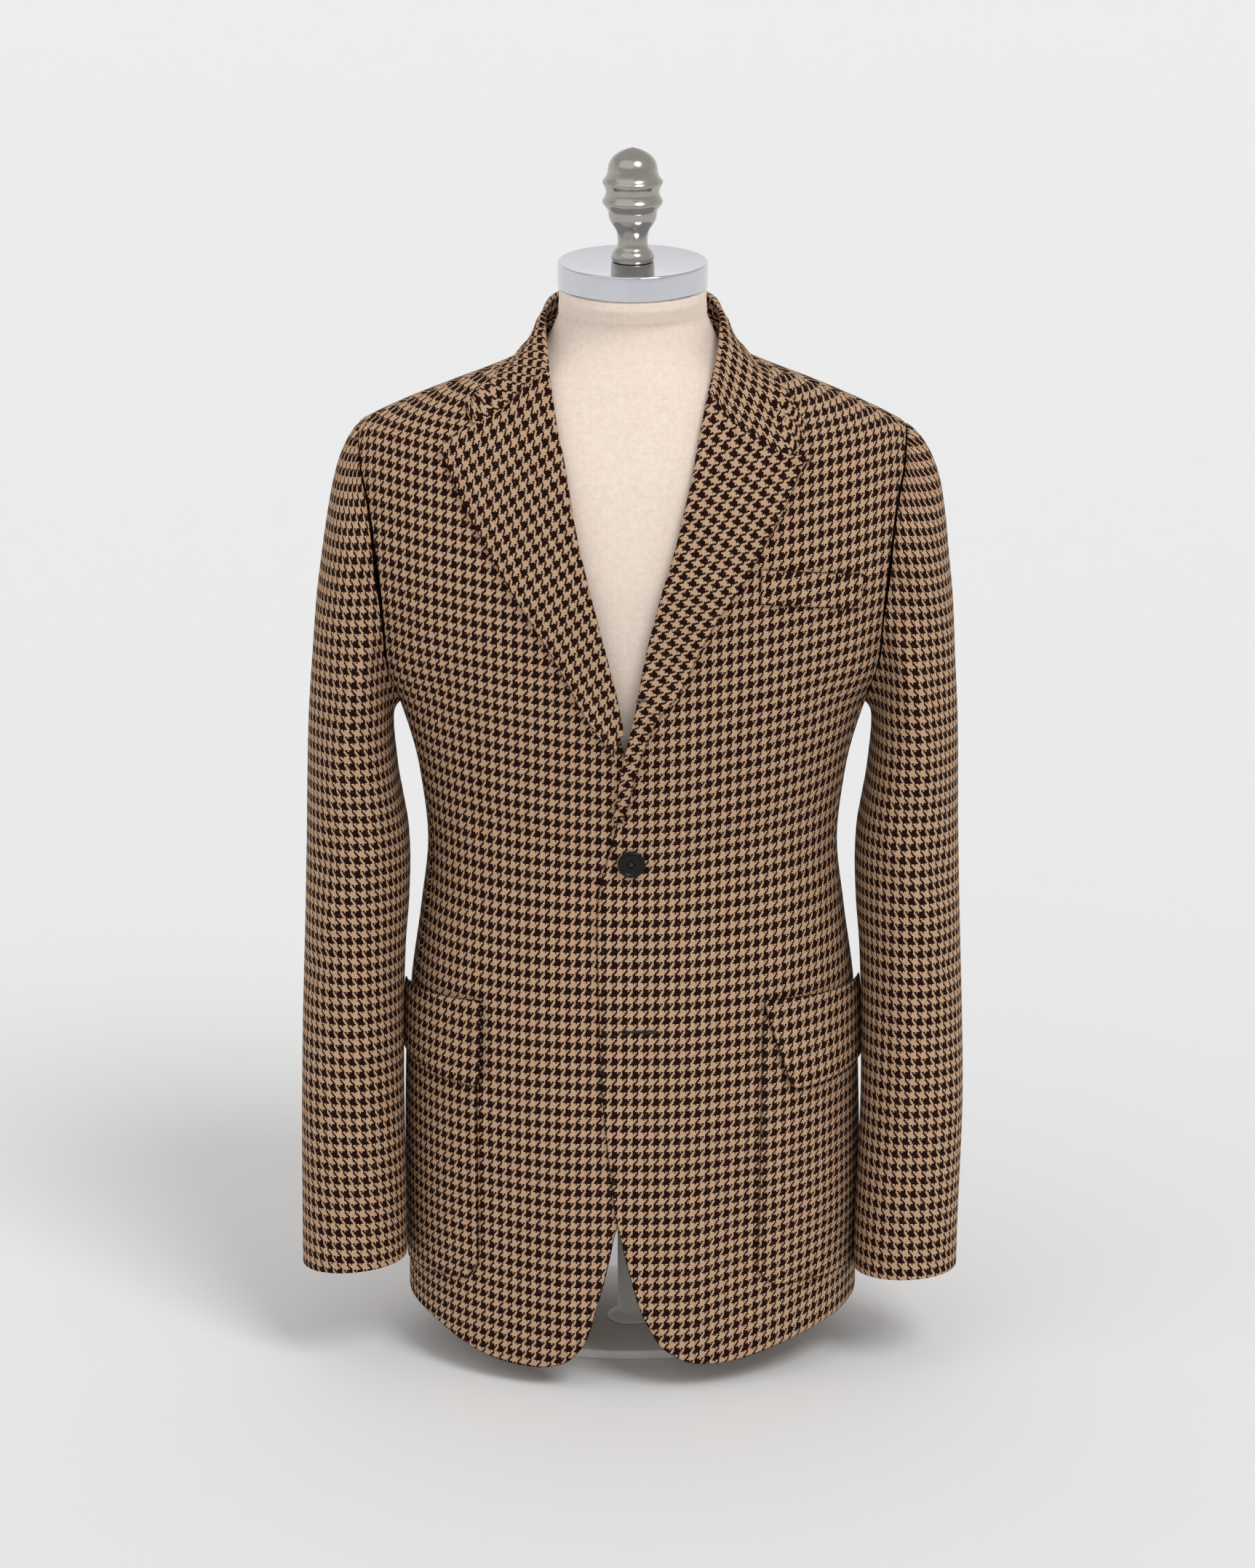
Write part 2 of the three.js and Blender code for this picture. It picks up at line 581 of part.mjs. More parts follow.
// The round nose where the cloth turns back, as points on its outer and inner face.
function nosePoints({ across, normal, centre }, angles) {
  const ring = (radius) => angles.map((degrees) => {
    const angle = THREE.MathUtils.degToRad(degrees);
    return centre.clone().addScaledVector(across, -radius * Math.cos(angle))
      .addScaledVector(normal, radius * Math.sin(angle));
  });
  return { outer: ring(rollRadius), inner: ring(rollRadius - clothThickness) };
}

function rollCurve(front) {
  const between = edgeRows.filter((row) => row.z > front.rollFoot + 3 && row.z < front.gorgeStart - 3);
  const ends = [front.rollFoot, front.gorgeStart];
  const rows = [ends[0], ...between.map((row) => row.z), ends[1]];
  return planeCurve(rows.map((z) => [edgeOut(front, z), z]));
}

// Top edge of the lapel: along the gorge seam to the notch, then out to the tip.
function gorgeCurve(front) {
  const start = [edgeOut(front, front.gorgeStart), front.gorgeStart];
  const seam = planeCurve([start, ...front.gorge]);
  const notch = seam(1);
  const tip = new THREE.Vector3(...front.tip, 0);
  return (share) => share <= notchShare
    ? seam(share / notchShare)
    : notch.clone().lerp(tip, (share - notchShare) / (1 - notchShare));
}

// Height of the lapel's outer face over the body, from the roll to the edge.
function lapelHeight(share) {
  const rollHeight = 2 * rollRadius - clothThickness;
  const flatHeight = layerGap + clothThickness;
  return flatHeight + (rollHeight - flatHeight) * (1 - share) ** 2;
}

function lapelFlatPoint(front, frame, flat, share) {
  const x = flat.x + (frame.centre.x - frame.here.x) * (1 - share);
  const layer = (depth) => offsetPoint(x, flat.y, lapelHeight(share) - depth, front.lifted);
  return { outer: layer(0), inner: layer(clothThickness) };
}

// The lapel turns back at the roll line in a round nose, and lies on the front out to its edge.
function buildLapel(front) {
  const roll = rollCurve(front);
  const edge = planeCurve([...front.lapelEdge, front.tip]);
  const gorge = gorgeCurve(front);
  const foot = planeCurve([[roll(0).x, roll(0).y], front.lapelEdge[0]]);
  const rows = 14;
  const outer = [];
  const inner = [];
  for (let j = 0; j <= rows; j += 1) {
    const t = j / rows;
    const frame = rollFrame(front, roll, t);
    const nose = nosePoints(frame, lapelNoseAngles);
    const flats = lapelShares.map((s) => {
      const flat = patchPoint(foot, gorge, roll(t), edge(t), s, t);
      return lapelFlatPoint(front, frame, flat, s);
    });
    outer.push([...nose.outer, ...flats.map((flat) => flat.outer)]);
    inner.push([...nose.inner, ...flats.map((flat) => flat.inner)]);
  }
  [...outer[rows], ...inner[rows]].forEach((point) => {
    point.z -= gorgeGap;
  });
  placeWall(`lapel_${front.name}`, outer, inner, front.side);
}

// Pushes a point out until it lies at least so far off the body.
function keepOff(point, distance) {
  for (let k = 0; k < 4; k += 1) {
    const short = distance - clearance(point);
    if (short > 0) point.addScaledVector(surfaceNormal(point), short);
  }
  return point;
}

// One section of the collar: the foot of the stand, the round crease, then four points down the fall.
function collarSection(foot, crease, fallEnd) {
  const up = crease.clone().sub(foot).normalize();
  const outwards = fallEnd.clone().sub(foot).setZ(0);
  outwards.addScaledVector(up, -outwards.dot(up)).normalize();
  const centre = crease.clone().addScaledVector(up, -rollRadius).addScaledVector(outwards, rollRadius);
  const ring = (radius) => creaseAngles.map((degrees) => {
    const angle = THREE.MathUtils.degToRad(degrees);
    return centre.clone().addScaledVector(outwards, radius * Math.cos(angle))
      .addScaledVector(up, radius * Math.sin(angle));
  });
  const outer = [foot.clone(), ...ring(rollRadius)];
  const innerFoot = foot.clone().addScaledVector(outwards, clothThickness);
  const inner = [innerFoot, ...ring(rollRadius - clothThickness)];
  const start = outer.at(-1);
  fallShares.forEach((share) => {
    const top = keepOff(start.clone().lerp(fallEnd, share), layerGap + clothThickness);
    outer.push(top);
    inner.push(top.clone().addScaledVector(surfaceNormal(top), -clothThickness));
  });
  return { outer, inner };
}

// The collar's front end lies edge to edge with the top of the lapel, then runs out to its corner.
function collarFrontEnd(front) {
  const frame = rollFrame(front, rollCurve(front), 1);
  const gorge = gorgeCurve(front);
  const nose = nosePoints(frame, [-90, -60, -20, 20, 60, 90]);
  const corner = new THREE.Vector3(...front.corner, 0);
  const flats = lapelShares.filter((share) => share <= notchShare)
    .map((share) => lapelFlatPoint(front, frame, gorge(share), share));
  flats.push(lapelFlatPoint(front, frame, corner, cornerShare));
  const outer = [...nose.outer, ...flats.map((flat) => flat.outer)];
  const inner = [...nose.inner, ...flats.map((flat) => flat.inner)];
  [...outer, ...inner].forEach((point) => {
    point.z += gorgeGap;
  });
  return { outer, inner };
}

function buildCollar() {
  const halfCollar = (front) => {
    const rows = [collarFrontEnd(front), ...collarRows.map((row) => collarSection(
      bodyPoint(row.footOut, row.footZ + collarFootGap, row.onBack), new THREE.Vector3(...row.crease),
      bodyPoint(row.fallOut, row.fallZ, row.onBack),
    ))];
    rows.forEach((row) => [...row.outer, ...row.inner].forEach((point) => {
      point.x *= front.side;
    }));
    return rows;
  };
  const stations = [...halfCollar(fronts[0]), ...halfCollar(fronts[1]).slice(0, -1).reverse()];
  const sectionCount = 28;
  const smooth = (layer) => {
    const columns = stations[0][layer].map((_, k) =>
      new THREE.CatmullRomCurve3(stations.map((station) => station[layer][k]), false, 'centripetal'),
    );
    return Array.from({ length: sectionCount + 1 }, (_, j) =>
      columns.map((curve) => curve.getPoint(j / sectionCount)),
    );
  };
  const outer = smooth('outer');
  const inner = smooth('inner');
  const fallStart = 1 + creaseAngles.length;
  outer.forEach((row, j) => row.forEach((point, k) => {
    if (k < fallStart || j === 0 || j === sectionCount) return;
    keepOff(point, collarLayerGap + clothThickness);
    inner[j][k].copy(point).addScaledVector(surfaceNormal(point), -clothThickness);
  }));
  placeWall('collar', outer, inner, 1);
}

// Point of a sleeve ring; 0 degrees is its outer side, 90 its front, 180 its inner side. The rings of
// the forearm lean with it, higher in front.
function sleevePoint(ring, degrees, shrink) {
  const angle = THREE.MathUtils.degToRad(degrees);
  const outSide = new THREE.Vector3(ring.outX, ring.middle, ring.outZ);
  const inSide = new THREE.Vector3(ring.inX, ring.middle, ring.inZ);
  const centre = outSide.clone().add(inSide).multiplyScalar(0.5);
  const arm = outSide.clone().sub(centre);
  const reach = arm.length();
  const oval = centre.clone()
    .addScaledVector(arm.normalize(), (reach - shrink) * Math.cos(angle))
    .add(new THREE.Vector3(0, -(ring.halfDepth - shrink) * Math.sin(angle), 0));
  oval.z += (ring.middle - oval.y) * sleeveLean.most
    * smoothStep(sleeveLean.from, sleeveLean.full, ring.outZ);
  if (ring.oval === 1) return oval;
  return armholeRingPoint(ring, degrees, shrink).lerp(oval, ring.oval);
}

// The armhole's outline carried over to a ring's own outer and inner points.
function armholeRingPoint(ring, degrees, shrink) {
  const { lerp } = THREE.MathUtils;
  const hole = armholePoint(degrees);
  const middle = new THREE.Vector3((armholeTop.x + armholeFoot.x) / 2, -2, armholeMiddle);
  const radial = hole.clone().sub(middle).normalize();
  hole.addScaledVector(radial, -shrink);
  const share = (hole.z - armholeFoot.z) / (armholeTop.z - armholeFoot.z);
  const swell = 4 * share * (1 - share) * sleeveHeadSwell;
  return new THREE.Vector3(
    hole.x + lerp(ring.inX - armholeFoot.x, ring.outX - armholeTop.x, share) + swell,
    (hole.y * ring.halfDepth) / armholeHalfDepth,
    hole.z + lerp(ring.inZ - armholeFoot.z, ring.outZ - armholeTop.z, share),
  );
}

// The left sleeve is a little fuller at its head, and its cuff swings in towards the coat.
function leftRing(ring) {
  const swing = smoothStep(leftCuffSwing.from, sleeveRings.at(-1).outZ, ring.outZ);
  return {
    ...ring,
    outX: ring.outX + ring.leftFull + leftCuffSwing.outX * swing,
    outZ: ring.outZ + leftCuffSwing.outZ * swing,
    inX: ring.inX + leftCuffSwing.inX * swing,
    inZ: ring.inZ + leftCuffSwing.inZ * swing,
  };
}

function buildSleevePiece(name, side, fromDegrees, toDegrees, columns) {
  const start = {
    outX: armholeTop.x + sleeveHeadGap, outZ: armholeTop.z,
    inX: armholeFoot.x + sleeveHeadGap, inZ: armholeFoot.z,
    halfDepth: armholeHalfDepth, oval: 0, leftFull: 0,
  };
  const rings = [start, ...sleeveRings].map((ring) => (side === 1 ? leftRing(ring) : ring));
  const degreesAt = (k) => THREE.MathUtils.lerp(fromDegrees, toDegrees, k / columns);
  const grid = (shrink) => rings.map((ring) => {
    const place = ring.oval === 0 ? armholeRingPoint : sleevePoint;
    return Array.from({ length: columns + 1 }, (_, k) => place(ring, degreesAt(k), shrink));
  });
  placeWall(name, grid(0), grid(clothThickness), side);
}

// Two-piece sleeve: the top piece and the narrower piece under the arm, seam to seam.
function buildSleeve(name, side) {
  const gapDegrees = 0.15;
  const topEnd = sleeveSeamAngle - gapDegrees;
  const underStart = sleeveSeamAngle + gapDegrees;
  buildSleevePiece(`sleeve_top_${name}`, side, -topEnd, topEnd, 14);
  buildSleevePiece(`sleeve_under_${name}`, side, underStart, 360 - underStart, 6);
}

// Turn at which the body's surface lies so far out at a height.
function turnAt(out, z) {
  const section = sectionAt(z);
  return (Math.asin((out / section.halfWidth) ** (section.power / 2)) * 2) / Math.PI;
}

// A piece laid on the body between two turns, lifted off it by whole layers.
function buildOverlay(name, side, grid, layers) {
  const base = layers * (layerGap + clothThickness) - clothThickness;
  const outer = [];
  const inner = [];
  grid.forEach((row) => {
    const points = row.map(([turn, z]) => turnPoint(turn, z));
    const normals = points.map((point) => surfaceNormal(point));
    const layer = (height) => points.map((point, k) => point.clone().addScaledVector(normals[k], height));
    outer.push(layer(base + clothThickness));
    inner.push(layer(base));
  });
  placeWall(name, outer, inner, side);
}

// Grid of [turn, height] from a front line back to a rear turn, between a lower and an upper edge.
function overlayGrid(rows, columns, frontOut, rear, bottom, top) {
  return Array.from({ length: rows + 1 }, (_, j) =>
    Array.from({ length: columns + 1 }, (__, k) => {
      const s = k / columns;
      const z = THREE.MathUtils.lerp(bottom(s), top(s), j / rows);
      return [THREE.MathUtils.lerp(turnAt(frontOut(j / rows), z), rear, s), z];
    }),
  );
}

// Rise of a rounded lower edge towards each of its ends.
function cornerRise(share, height, reach) {
  return height * Math.max(0, 1 - Math.min(share, 1 - share) / reach) ** 2;
}

function buildPocket(front) {
  const { frontTop, frontBottom, top, bottomFront, bottomRear } = front.pocket;
  const { lerp } = THREE.MathUtils;
  buildOverlay(`pocket_${front.name}`, front.side, overlayGrid(
    8, 9, (t) => lerp(frontBottom, frontTop, t), pocketRear,
    (s) => lerp(bottomFront, bottomRear, s) + cornerRise(s, 14, 0.13), () => top,
  ), 1);
}

function buildFlap(front) {
  const { frontTop, frontBottom, topFront, topRear, bottomFront, bottomRear } = front.flap;
  const { lerp } = THREE.MathUtils;
  buildOverlay(`flap_${front.name}`, front.side, overlayGrid(
    4, 9, (t) => lerp(frontBottom, frontTop, t), flapRear,
    (s) => lerp(bottomFront, bottomRear, s) + cornerRise(s, 7, 0.12), (s) => lerp(topFront, topRear, s),
  ), 2);
}

function buildBreastWelt() {
  const { frontOut, rearOut, bottomFront, bottomRear, height } = breastWelt;
  const bottom = (s) => THREE.MathUtils.lerp(bottomFront, bottomRear, s);
  const grid = overlayGrid(
    2, 6, () => frontOut, turnAt(rearOut, bottomRear + height / 2), bottom, (s) => bottom(s) + height,
  );
  buildOverlay('breast_welt', 1, grid, 1);
}

// Front button: a turned disc with a raised rim, set on the lifted front along its normal.
function buildButton() {
  const radius = buttonDiameter / 2;
  const profile = [
    [0, 0], [radius - 1.4, 0], [radius - 0.3, 1], [radius, 2.2], [radius - 0.5, 3.4],
    [radius - 1.6, 3.9], [radius - 2.8, 3.4], [radius - 3.6, 2.7], [0, 2.5],
  ].map(([r, height]) => new THREE.Vector2(r, height));
  const disc = addMesh('button_front', new THREE.LatheGeometry(profile, 24), horn);
  const seat = offsetPoint(button.x, button.z, button.seat, true);
  disc.position.copy(seat);
  disc.quaternion.setFromUnitVectors(new THREE.Vector3(0, 1, 0), surfaceNormal(seat));
}

// Dress form: the coat's own sections moved inwards, flat at the arms, with a round neck.
function buildTorso() {
  const segments = 28;
  const rings = formRows.map(({ z, inset }) =>
    Array.from({ length: segments }, (_, k) => {
      const around = (4 * k) / segments;
      const side = around > 2 ? -1 : 1;
      const turn = around > 2 ? 4 - around : around;
      const point = turnPoint(turn, z, side);
      const normal = surfaceNormal(point);
      if (z < levelInsetBelow) normal.setZ(0).normalize();
      const slack = formSlack * smoothStep(0.1, 0.4, Math.abs(1 - turn));
      point.addScaledVector(normal, -inset - slack);
      const limit = armPlateFoot + Math.max(0, point.z - armholeFoot.z) * armPlateLean;
      point.x = THREE.MathUtils.clamp(point.x, -limit, limit);
      return point;
    }),
  );
  [neckTop - neckCollarHeight, neckTop].forEach((z) => {
    rings.push(Array.from({ length: segments }, (_, k) => {
      const angle = (k / segments) * Math.PI * 2;
      return new THREE.Vector3(neckRadius * Math.sin(angle), -neckRadius * Math.cos(angle), z);
    }));
  });
  addMesh('form_torso', ringSolid(rings), linen);
}

// Upright turned solid through [radius, height] points.
function lathe(profile, segments) {
  const geometry = new THREE.LatheGeometry(profile.map(([r, h]) => new THREE.Vector2(r, h)), segments);
  return geometry.rotateX(Math.PI / 2);
}

function buildNeckCapAndFinial() {
  const capFoot = neckTop + seamGap;
  const bevel = 1.5;
  const cap = addMesh('neck_cap', lathe([
    [0, 0], [capRadius - bevel, 0], [capRadius, bevel], [capRadius, capThickness - bevel],
    [capRadius - bevel, capThickness], [0, capThickness],
  ], 36), chrome);
  cap.position.z = capFoot;
  const turned = finialProfile.map(([height, radius]) => [radius, height]);
  const finial = addMesh('finial', lathe([[0, 0], ...turned], 20), nickel);
  finial.position.z = capFoot + capThickness + seamGap;
}

function buildStand() {
  const columnFoot = plateThickness + seamGap;
  const columnLength = torsoBottom - seamGap - columnFoot;
  const column = addMesh('stand_column', lathe([
    [0, 0], [columnFlange.radius, 0], [columnFlange.radius, columnFlange.rim],
    [columnRadius, columnFlange.height], [columnRadius, columnLength], [0, columnLength],
  ], 20), paintedSteel);
  column.position.z = columnFoot;
  const plate = new THREE.Shape().absellipse(0, 0, plateHalfWidth, plateHalfDepth, 0, Math.PI * 2);
  const base = addMesh('base_plate', new THREE.ExtrudeGeometry(plate, {
    depth: plateThickness, bevelEnabled: false, curveSegments: 20,
  }), paintedSteel);
  base.position.y = plateSetBack;
}

fronts.forEach(buildFront);
fronts.forEach(buildLapel);
fronts.forEach(buildPocket);
fronts.forEach(buildFlap);
[['left', 1], ['right', -1]].forEach(([name, side]) => {
  buildSide(`side_${name}`, side);
  buildBack(`back_${name}`, side);
  buildSleeve(name, side);
});
buildCollar();
buildBreastWelt();
buildButton();
buildTorso();
buildNeckCapAndFinial();
buildStand();

export default coat;
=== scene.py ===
import math

import bmesh
import bpy
import numpy as np
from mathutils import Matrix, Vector


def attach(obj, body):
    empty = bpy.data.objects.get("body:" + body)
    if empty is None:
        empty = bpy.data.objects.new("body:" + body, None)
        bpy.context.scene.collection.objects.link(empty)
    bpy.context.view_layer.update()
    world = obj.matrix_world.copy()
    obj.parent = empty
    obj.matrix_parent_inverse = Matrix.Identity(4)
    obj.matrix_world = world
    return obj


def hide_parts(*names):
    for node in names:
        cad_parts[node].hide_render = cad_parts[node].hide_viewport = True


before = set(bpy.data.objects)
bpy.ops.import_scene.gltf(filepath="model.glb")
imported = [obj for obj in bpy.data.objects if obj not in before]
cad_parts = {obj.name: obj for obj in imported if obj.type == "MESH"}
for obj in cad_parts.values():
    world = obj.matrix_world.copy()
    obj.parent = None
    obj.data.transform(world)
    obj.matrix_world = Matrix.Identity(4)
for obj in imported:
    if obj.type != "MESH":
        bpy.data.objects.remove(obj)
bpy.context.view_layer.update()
print("frame loaded:", len(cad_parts), "nodes")

# Lengths are millimetres up to the moment a mesh is made; x is measured out from the centre, on the
# wearer's left, and a piece for the right side is mirrored when it is made.


# small tools
def monotoneCurve(places, values):
    places, values = np.array(places, float), np.array(values, float)
    rise = np.diff(values) / np.diff(places)
    slopes = np.zeros(len(places))
    for k in range(1, len(places) - 1):
        if rise[k - 1] * rise[k] > 0:
            lower, upper = places[k] - places[k - 1], places[k + 1] - places[k]
            slopes[k] = 3 * (lower + upper) / ((2 * upper + lower) / rise[k - 1] + (upper + 2 * lower) / rise[k])

    def valueAt(place):
        place = np.clip(place, places[0], places[-1])
        k = np.clip(np.searchsorted(places, place, side="right") - 1, 0, len(places) - 2)
        step = places[k + 1] - places[k]
        t = (place - places[k]) / step
        return (
            (2 * t**3 - 3 * t**2 + 1) * values[k] + (t**3 - 2 * t**2 + t) * step * slopes[k]
            + (3 * t**2 - 2 * t**3) * values[k + 1] + (t**3 - t**2) * step * slopes[k + 1]
        )

    return valueAt


def throughPoints(points, stepsPerSpan):
    # a smooth line through the points, rounder where they lie close together
    points = np.array(points, float)
    padded = np.concatenate([[2 * points[0] - points[1]], points, [2 * points[-1] - points[-2]]])
    line = []
    for p0, p1, p2, p3 in zip(padded, padded[1:], padded[2:], padded[3:]):
        d0, d1, d2 = (max(np.linalg.norm(b - a) ** 0.5, 1e-4) for a, b in ((p0, p1), (p1, p2), (p2, p3)))
        m1 = ((p1 - p0) / d0 - (p2 - p0) / (d0 + d1) + (p2 - p1) / d1) * d1
        m2 = ((p2 - p1) / d1 - (p3 - p1) / (d1 + d2) + (p3 - p2) / d2) * d1
        t = (np.arange(stepsPerSpan) / stepsPerSpan)[:, None]
        line.append(
            (2 * t**3 - 3 * t**2 + 1) * p1 + (t**3 - 2 * t**2 + t) * m1
            + (3 * t**2 - 2 * t**3) * p2 + (t**3 - t**2) * m2
        )
    return np.concatenate([*line, points[-1:]])


def planeCurve(points):
    line = throughPoints(points, 30)
    along = np.concatenate([[0], np.cumsum(np.linalg.norm(np.diff(line, axis=0), axis=1))])
    along /= along[-1]

    def pointAt(share):
        return np.stack([np.interp(share, along, line[:, k]) for k in range(line.shape[1])], -1)

    return pointAt


def smoothStep(start, end, value):
    t = np.clip((value - start) / (end - start), 0, 1)
    return t * t * (3 - 2 * t)


def unit(vectors):
    return vectors / np.maximum(np.linalg.norm(vectors, axis=-1, keepdims=True), 1e-9)


def refineGrid(grid, rowSteps, columnSteps):
    rows = np.stack([throughPoints(grid[:, k], rowSteps) for k in range(grid.shape[1])], 1)
    return np.stack([throughPoints(row, columnSteps) for row in rows])


def gridNormals(grid):
    normals = unit(np.cross(np.gradient(grid, axis=1), np.gradient(grid, axis=0)))
    return normals


# the coat's body, as level sections
bodyForm = {
    # height, half width, depth to the front, depth to the back, corner power
    "sections": [
        (0, 181, 143, 122, 2.2), (36, 181, 143, 122, 2.2), (150, 181, 139, 120, 2.2), (290, 178, 131, 116, 2.2),
        (363, 169, 121, 105, 2.2), (420, 163, 115, 97, 2.2), (478, 169, 118, 101, 2.2), (535, 184, 124, 110, 2.2),
        (592, 211, 127, 115, 2.2), (650, 222, 125, 118, 2.2), (688, 225, 118, 116, 2.1),
        (726, 224.5, 106, 110, 1.95), (745, 220, 98, 105, 1.88), (759, 214, 91, 101, 1.84),
        (763, 207, 89, 100, 1.83), (776, 180, 82, 95, 1.8), (790.5, 145, 74.2, 88.2, 1.8),
        (805, 108, 67.8, 80.8, 1.8), (815, 87, 64, 76, 1.8), (826, 77, 61, 71, 1.8), (838, 72, 59, 66, 1.8),
        (856, 66, 58, 61, 1.8),
    ],
    "overlapLift": 3.1,
    "frontSeam": 0.86, "backSeam": 1.24, "seamTurnGap": 0.0015, "seamGap": 0.3,
    "neckSideHeight": 833, "neckBackHeight": 838, "sideHem": 41, "backHem": 38,
    "clothThickness": 1.9, "rollRadius": 3, "rollClearance": 0.9, "layerGap": 1.1, "wallInCad": 2,
}
armhole = {"topX": 214, "topZ": 759, "footX": 184, "footZ": 534, "halfDepth": 60, "reach": 0.31}
armhole["middle"] = (armhole["topZ"] + armhole["footZ"]) / 2
armhole["halfHeight"] = (armhole["topZ"] - armhole["footZ"]) / 2

sectionTable = np.array(bodyForm["sections"], float)
halfWidthAt, frontDepthAt, backDepthAt, powerAt = (
    monotoneCurve(sectionTable[:, 0], sectionTable[:, k]) for k in (1, 2, 3, 4)
)


def bodyPoints(x, z, onBack=False):
    x, z = np.broadcast_arrays(np.asarray(x, float), np.asarray(z, float))
    halfWidth, power = halfWidthAt(z), powerAt(z)
    across = np.minimum(1, np.abs(x) / halfWidth)
    depth = (1 - across**power) ** (1 / power)
    y = backDepthAt(z) * depth if onBack else -frontDepthAt(z) * depth
    return np.stack([np.sign(x) * across * halfWidth, y, z], -1)


def turnPoints(turn, z):
    # 0 is the centre front, 1 the side and the shoulder's ridge, 2 the centre back
    turn, z = np.broadcast_arrays(np.asarray(turn, float), np.asarray(z, float))
    angle, power = turn * math.pi / 2, powerAt(z)
    across = np.abs(np.sin(angle)) ** (2 / power)
    along = np.abs(np.cos(angle)) ** (2 / power)
    y = np.where(np.cos(angle) < 0, backDepthAt(z) * along, -frontDepthAt(z) * along)
    return np.stack([halfWidthAt(z) * across, y, z], -1)


def turnAt(out, z):
    share = np.clip(np.abs(out) / halfWidthAt(z), 0, 1)
    return np.arcsin(share ** (powerAt(z) / 2)) * 2 / math.pi


def outwardness(points):
    x, y, z = points[..., 0], points[..., 1], points[..., 2]
    depth = np.where(y < 0, frontDepthAt(z), backDepthAt(z))
    power = powerAt(z)
    return ((np.abs(x) / halfWidthAt(z)) ** power + (np.abs(y) / depth) ** power) ** (1 / power)


def outwardSlope(points):
    step = 0.05
    return np.stack(
        [(outwardness(points + step * axis) - outwardness(points - step * axis)) / (2 * step) for axis in np.eye(3)],
        -1,
    )


def bodyNormals(points):
    return unit(outwardSlope(points))


def keepOff(points, distance):
    points = points.copy()
    for _ in range(4):
        slope = outwardSlope(points)
        clear = (outwardness(points) - 1) / np.linalg.norm(slope, axis=-1)
        points += unit(slope) * np.maximum(distance - clear, 0)[..., None]
    return points


def liftAt(x, z):
    # the wearer's left front lies over the right one near the centre
    return bodyForm["overlapLift"] * (1 - smoothStep(32, 80, x)) * (1 - smoothStep(530, 595, z))


# soft folds: start, end, depth (minus goes in), width and unevenness
bodyFolds = [
    # (side, on the back, start x z, end x z, depth, width); side 0 is both
    (1, False, (20, 430), (150, 462), -0.9, 11), (1, False, (30, 415), (158, 395), 0.7, 12),
    (-1, False, (24, 436), (140, 470), -0.8, 12), (-1, False, (34, 418), (152, 384), -0.7, 11),
    (0, False, (40, 446), (128, 500), 0.6, 12), (0, False, (172, 540), (120, 592), -1.2, 12),
    (0, False, (188, 560), (158, 640), 1.1, 11), (1, False, (60, 210), (92, 60), -1.0, 18),
    (-1, False, (40, 240), (66, 70), 1.1, 20), (0, False, (140, 250), (150, 110), 0.9, 18),
    (0, True, (20, 440), (140, 470), -1.1, 12), (0, True, (26, 420), (150, 400), 0.9, 12),
    (0, True, (30, 300), (46, 70), 1.4, 24), (0, True, (96, 280), (112, 60), -1.2, 24),
    (0, True, (176, 548), (120, 610), -1.5, 13), (0, True, (188, 580), (150, 660), 1.4, 12),
    (0, True, (60, 800), (120, 740), -0.8, 14),
]


foldScale = {"body": 1.35, "sleeve": 1.45}


def foldHeight(x, z, folds, side, onBack=False):
    height = np.zeros(np.broadcast(x, z).shape)
    for number, (foldSide, foldBack, start, end, depth, width) in enumerate(folds):
        if foldBack != onBack or foldSide not in (0, side):
            continue
        (x0, z0), (x1, z1) = start, end
        length = math.hypot(x1 - x0, z1 - z0)
        along = ((x - x0) * (x1 - x0) + (z - z0) * (z1 - z0)) / length**2
        wander = 2.5 * np.sin(5 * along + 1.7 * number) + 1.2 * np.sin(11 * along + number)
        off = ((x - x0) * (z1 - z0) - (z - z0) * (x1 - x0)) / length + wander
        uneven = 1 + 0.3 * np.sin(7 * along + 2.3 * number)
        ends = smoothStep(-0.25, 0.25, along) * (1 - smoothStep(0.75, 1.25, along))
        height += depth * uneven * ends * np.exp(-((off / width) ** 2))
    calm = 0.28 * np.sin(x / 31 + z / 53 + side) + 0.22 * np.sin(z / 37 - x / 44 + 2 * side)
    # the lap lies flat, so that its two layers keep apart
    quiet = 1 if onBack else 0.3 + 0.7 * smoothStep(8, 60, np.abs(x))
    return (height + calm) * quiet * foldScale["body"]


# where each thread lies: u across and v up the cloth, in millimetres
turnSteps, heightSteps = np.linspace(0, 2, 161), np.arange(0, 861, 5.0)
ringTable = turnPoints(turnSteps[None, :], heightSteps[:, None])
arcTable = np.concatenate(
    [np.zeros((len(heightSteps), 1)), np.cumsum(np.linalg.norm(np.diff(ringTable, axis=1), axis=-1), axis=1)], 1
)


def tableAt(table, columns, rows, column, row):
    column, row = np.broadcast_arrays(column, row)
    c = np.clip((column - columns[0]) / (columns[1] - columns[0]), 0, len(columns) - 1.001)
    r = np.clip((row - rows[0]) / (rows[1] - rows[0]), 0, len(rows) - 1.001)
    c0, r0 = c.astype(int), r.astype(int)
    c, r = c - c0, r - r0
    lower = table[r0, c0] * (1 - c) + table[r0, c0 + 1] * c
    upper = table[r0 + 1, c0] * (1 - c) + table[r0 + 1, c0 + 1] * c
    return lower * (1 - r) + upper * r


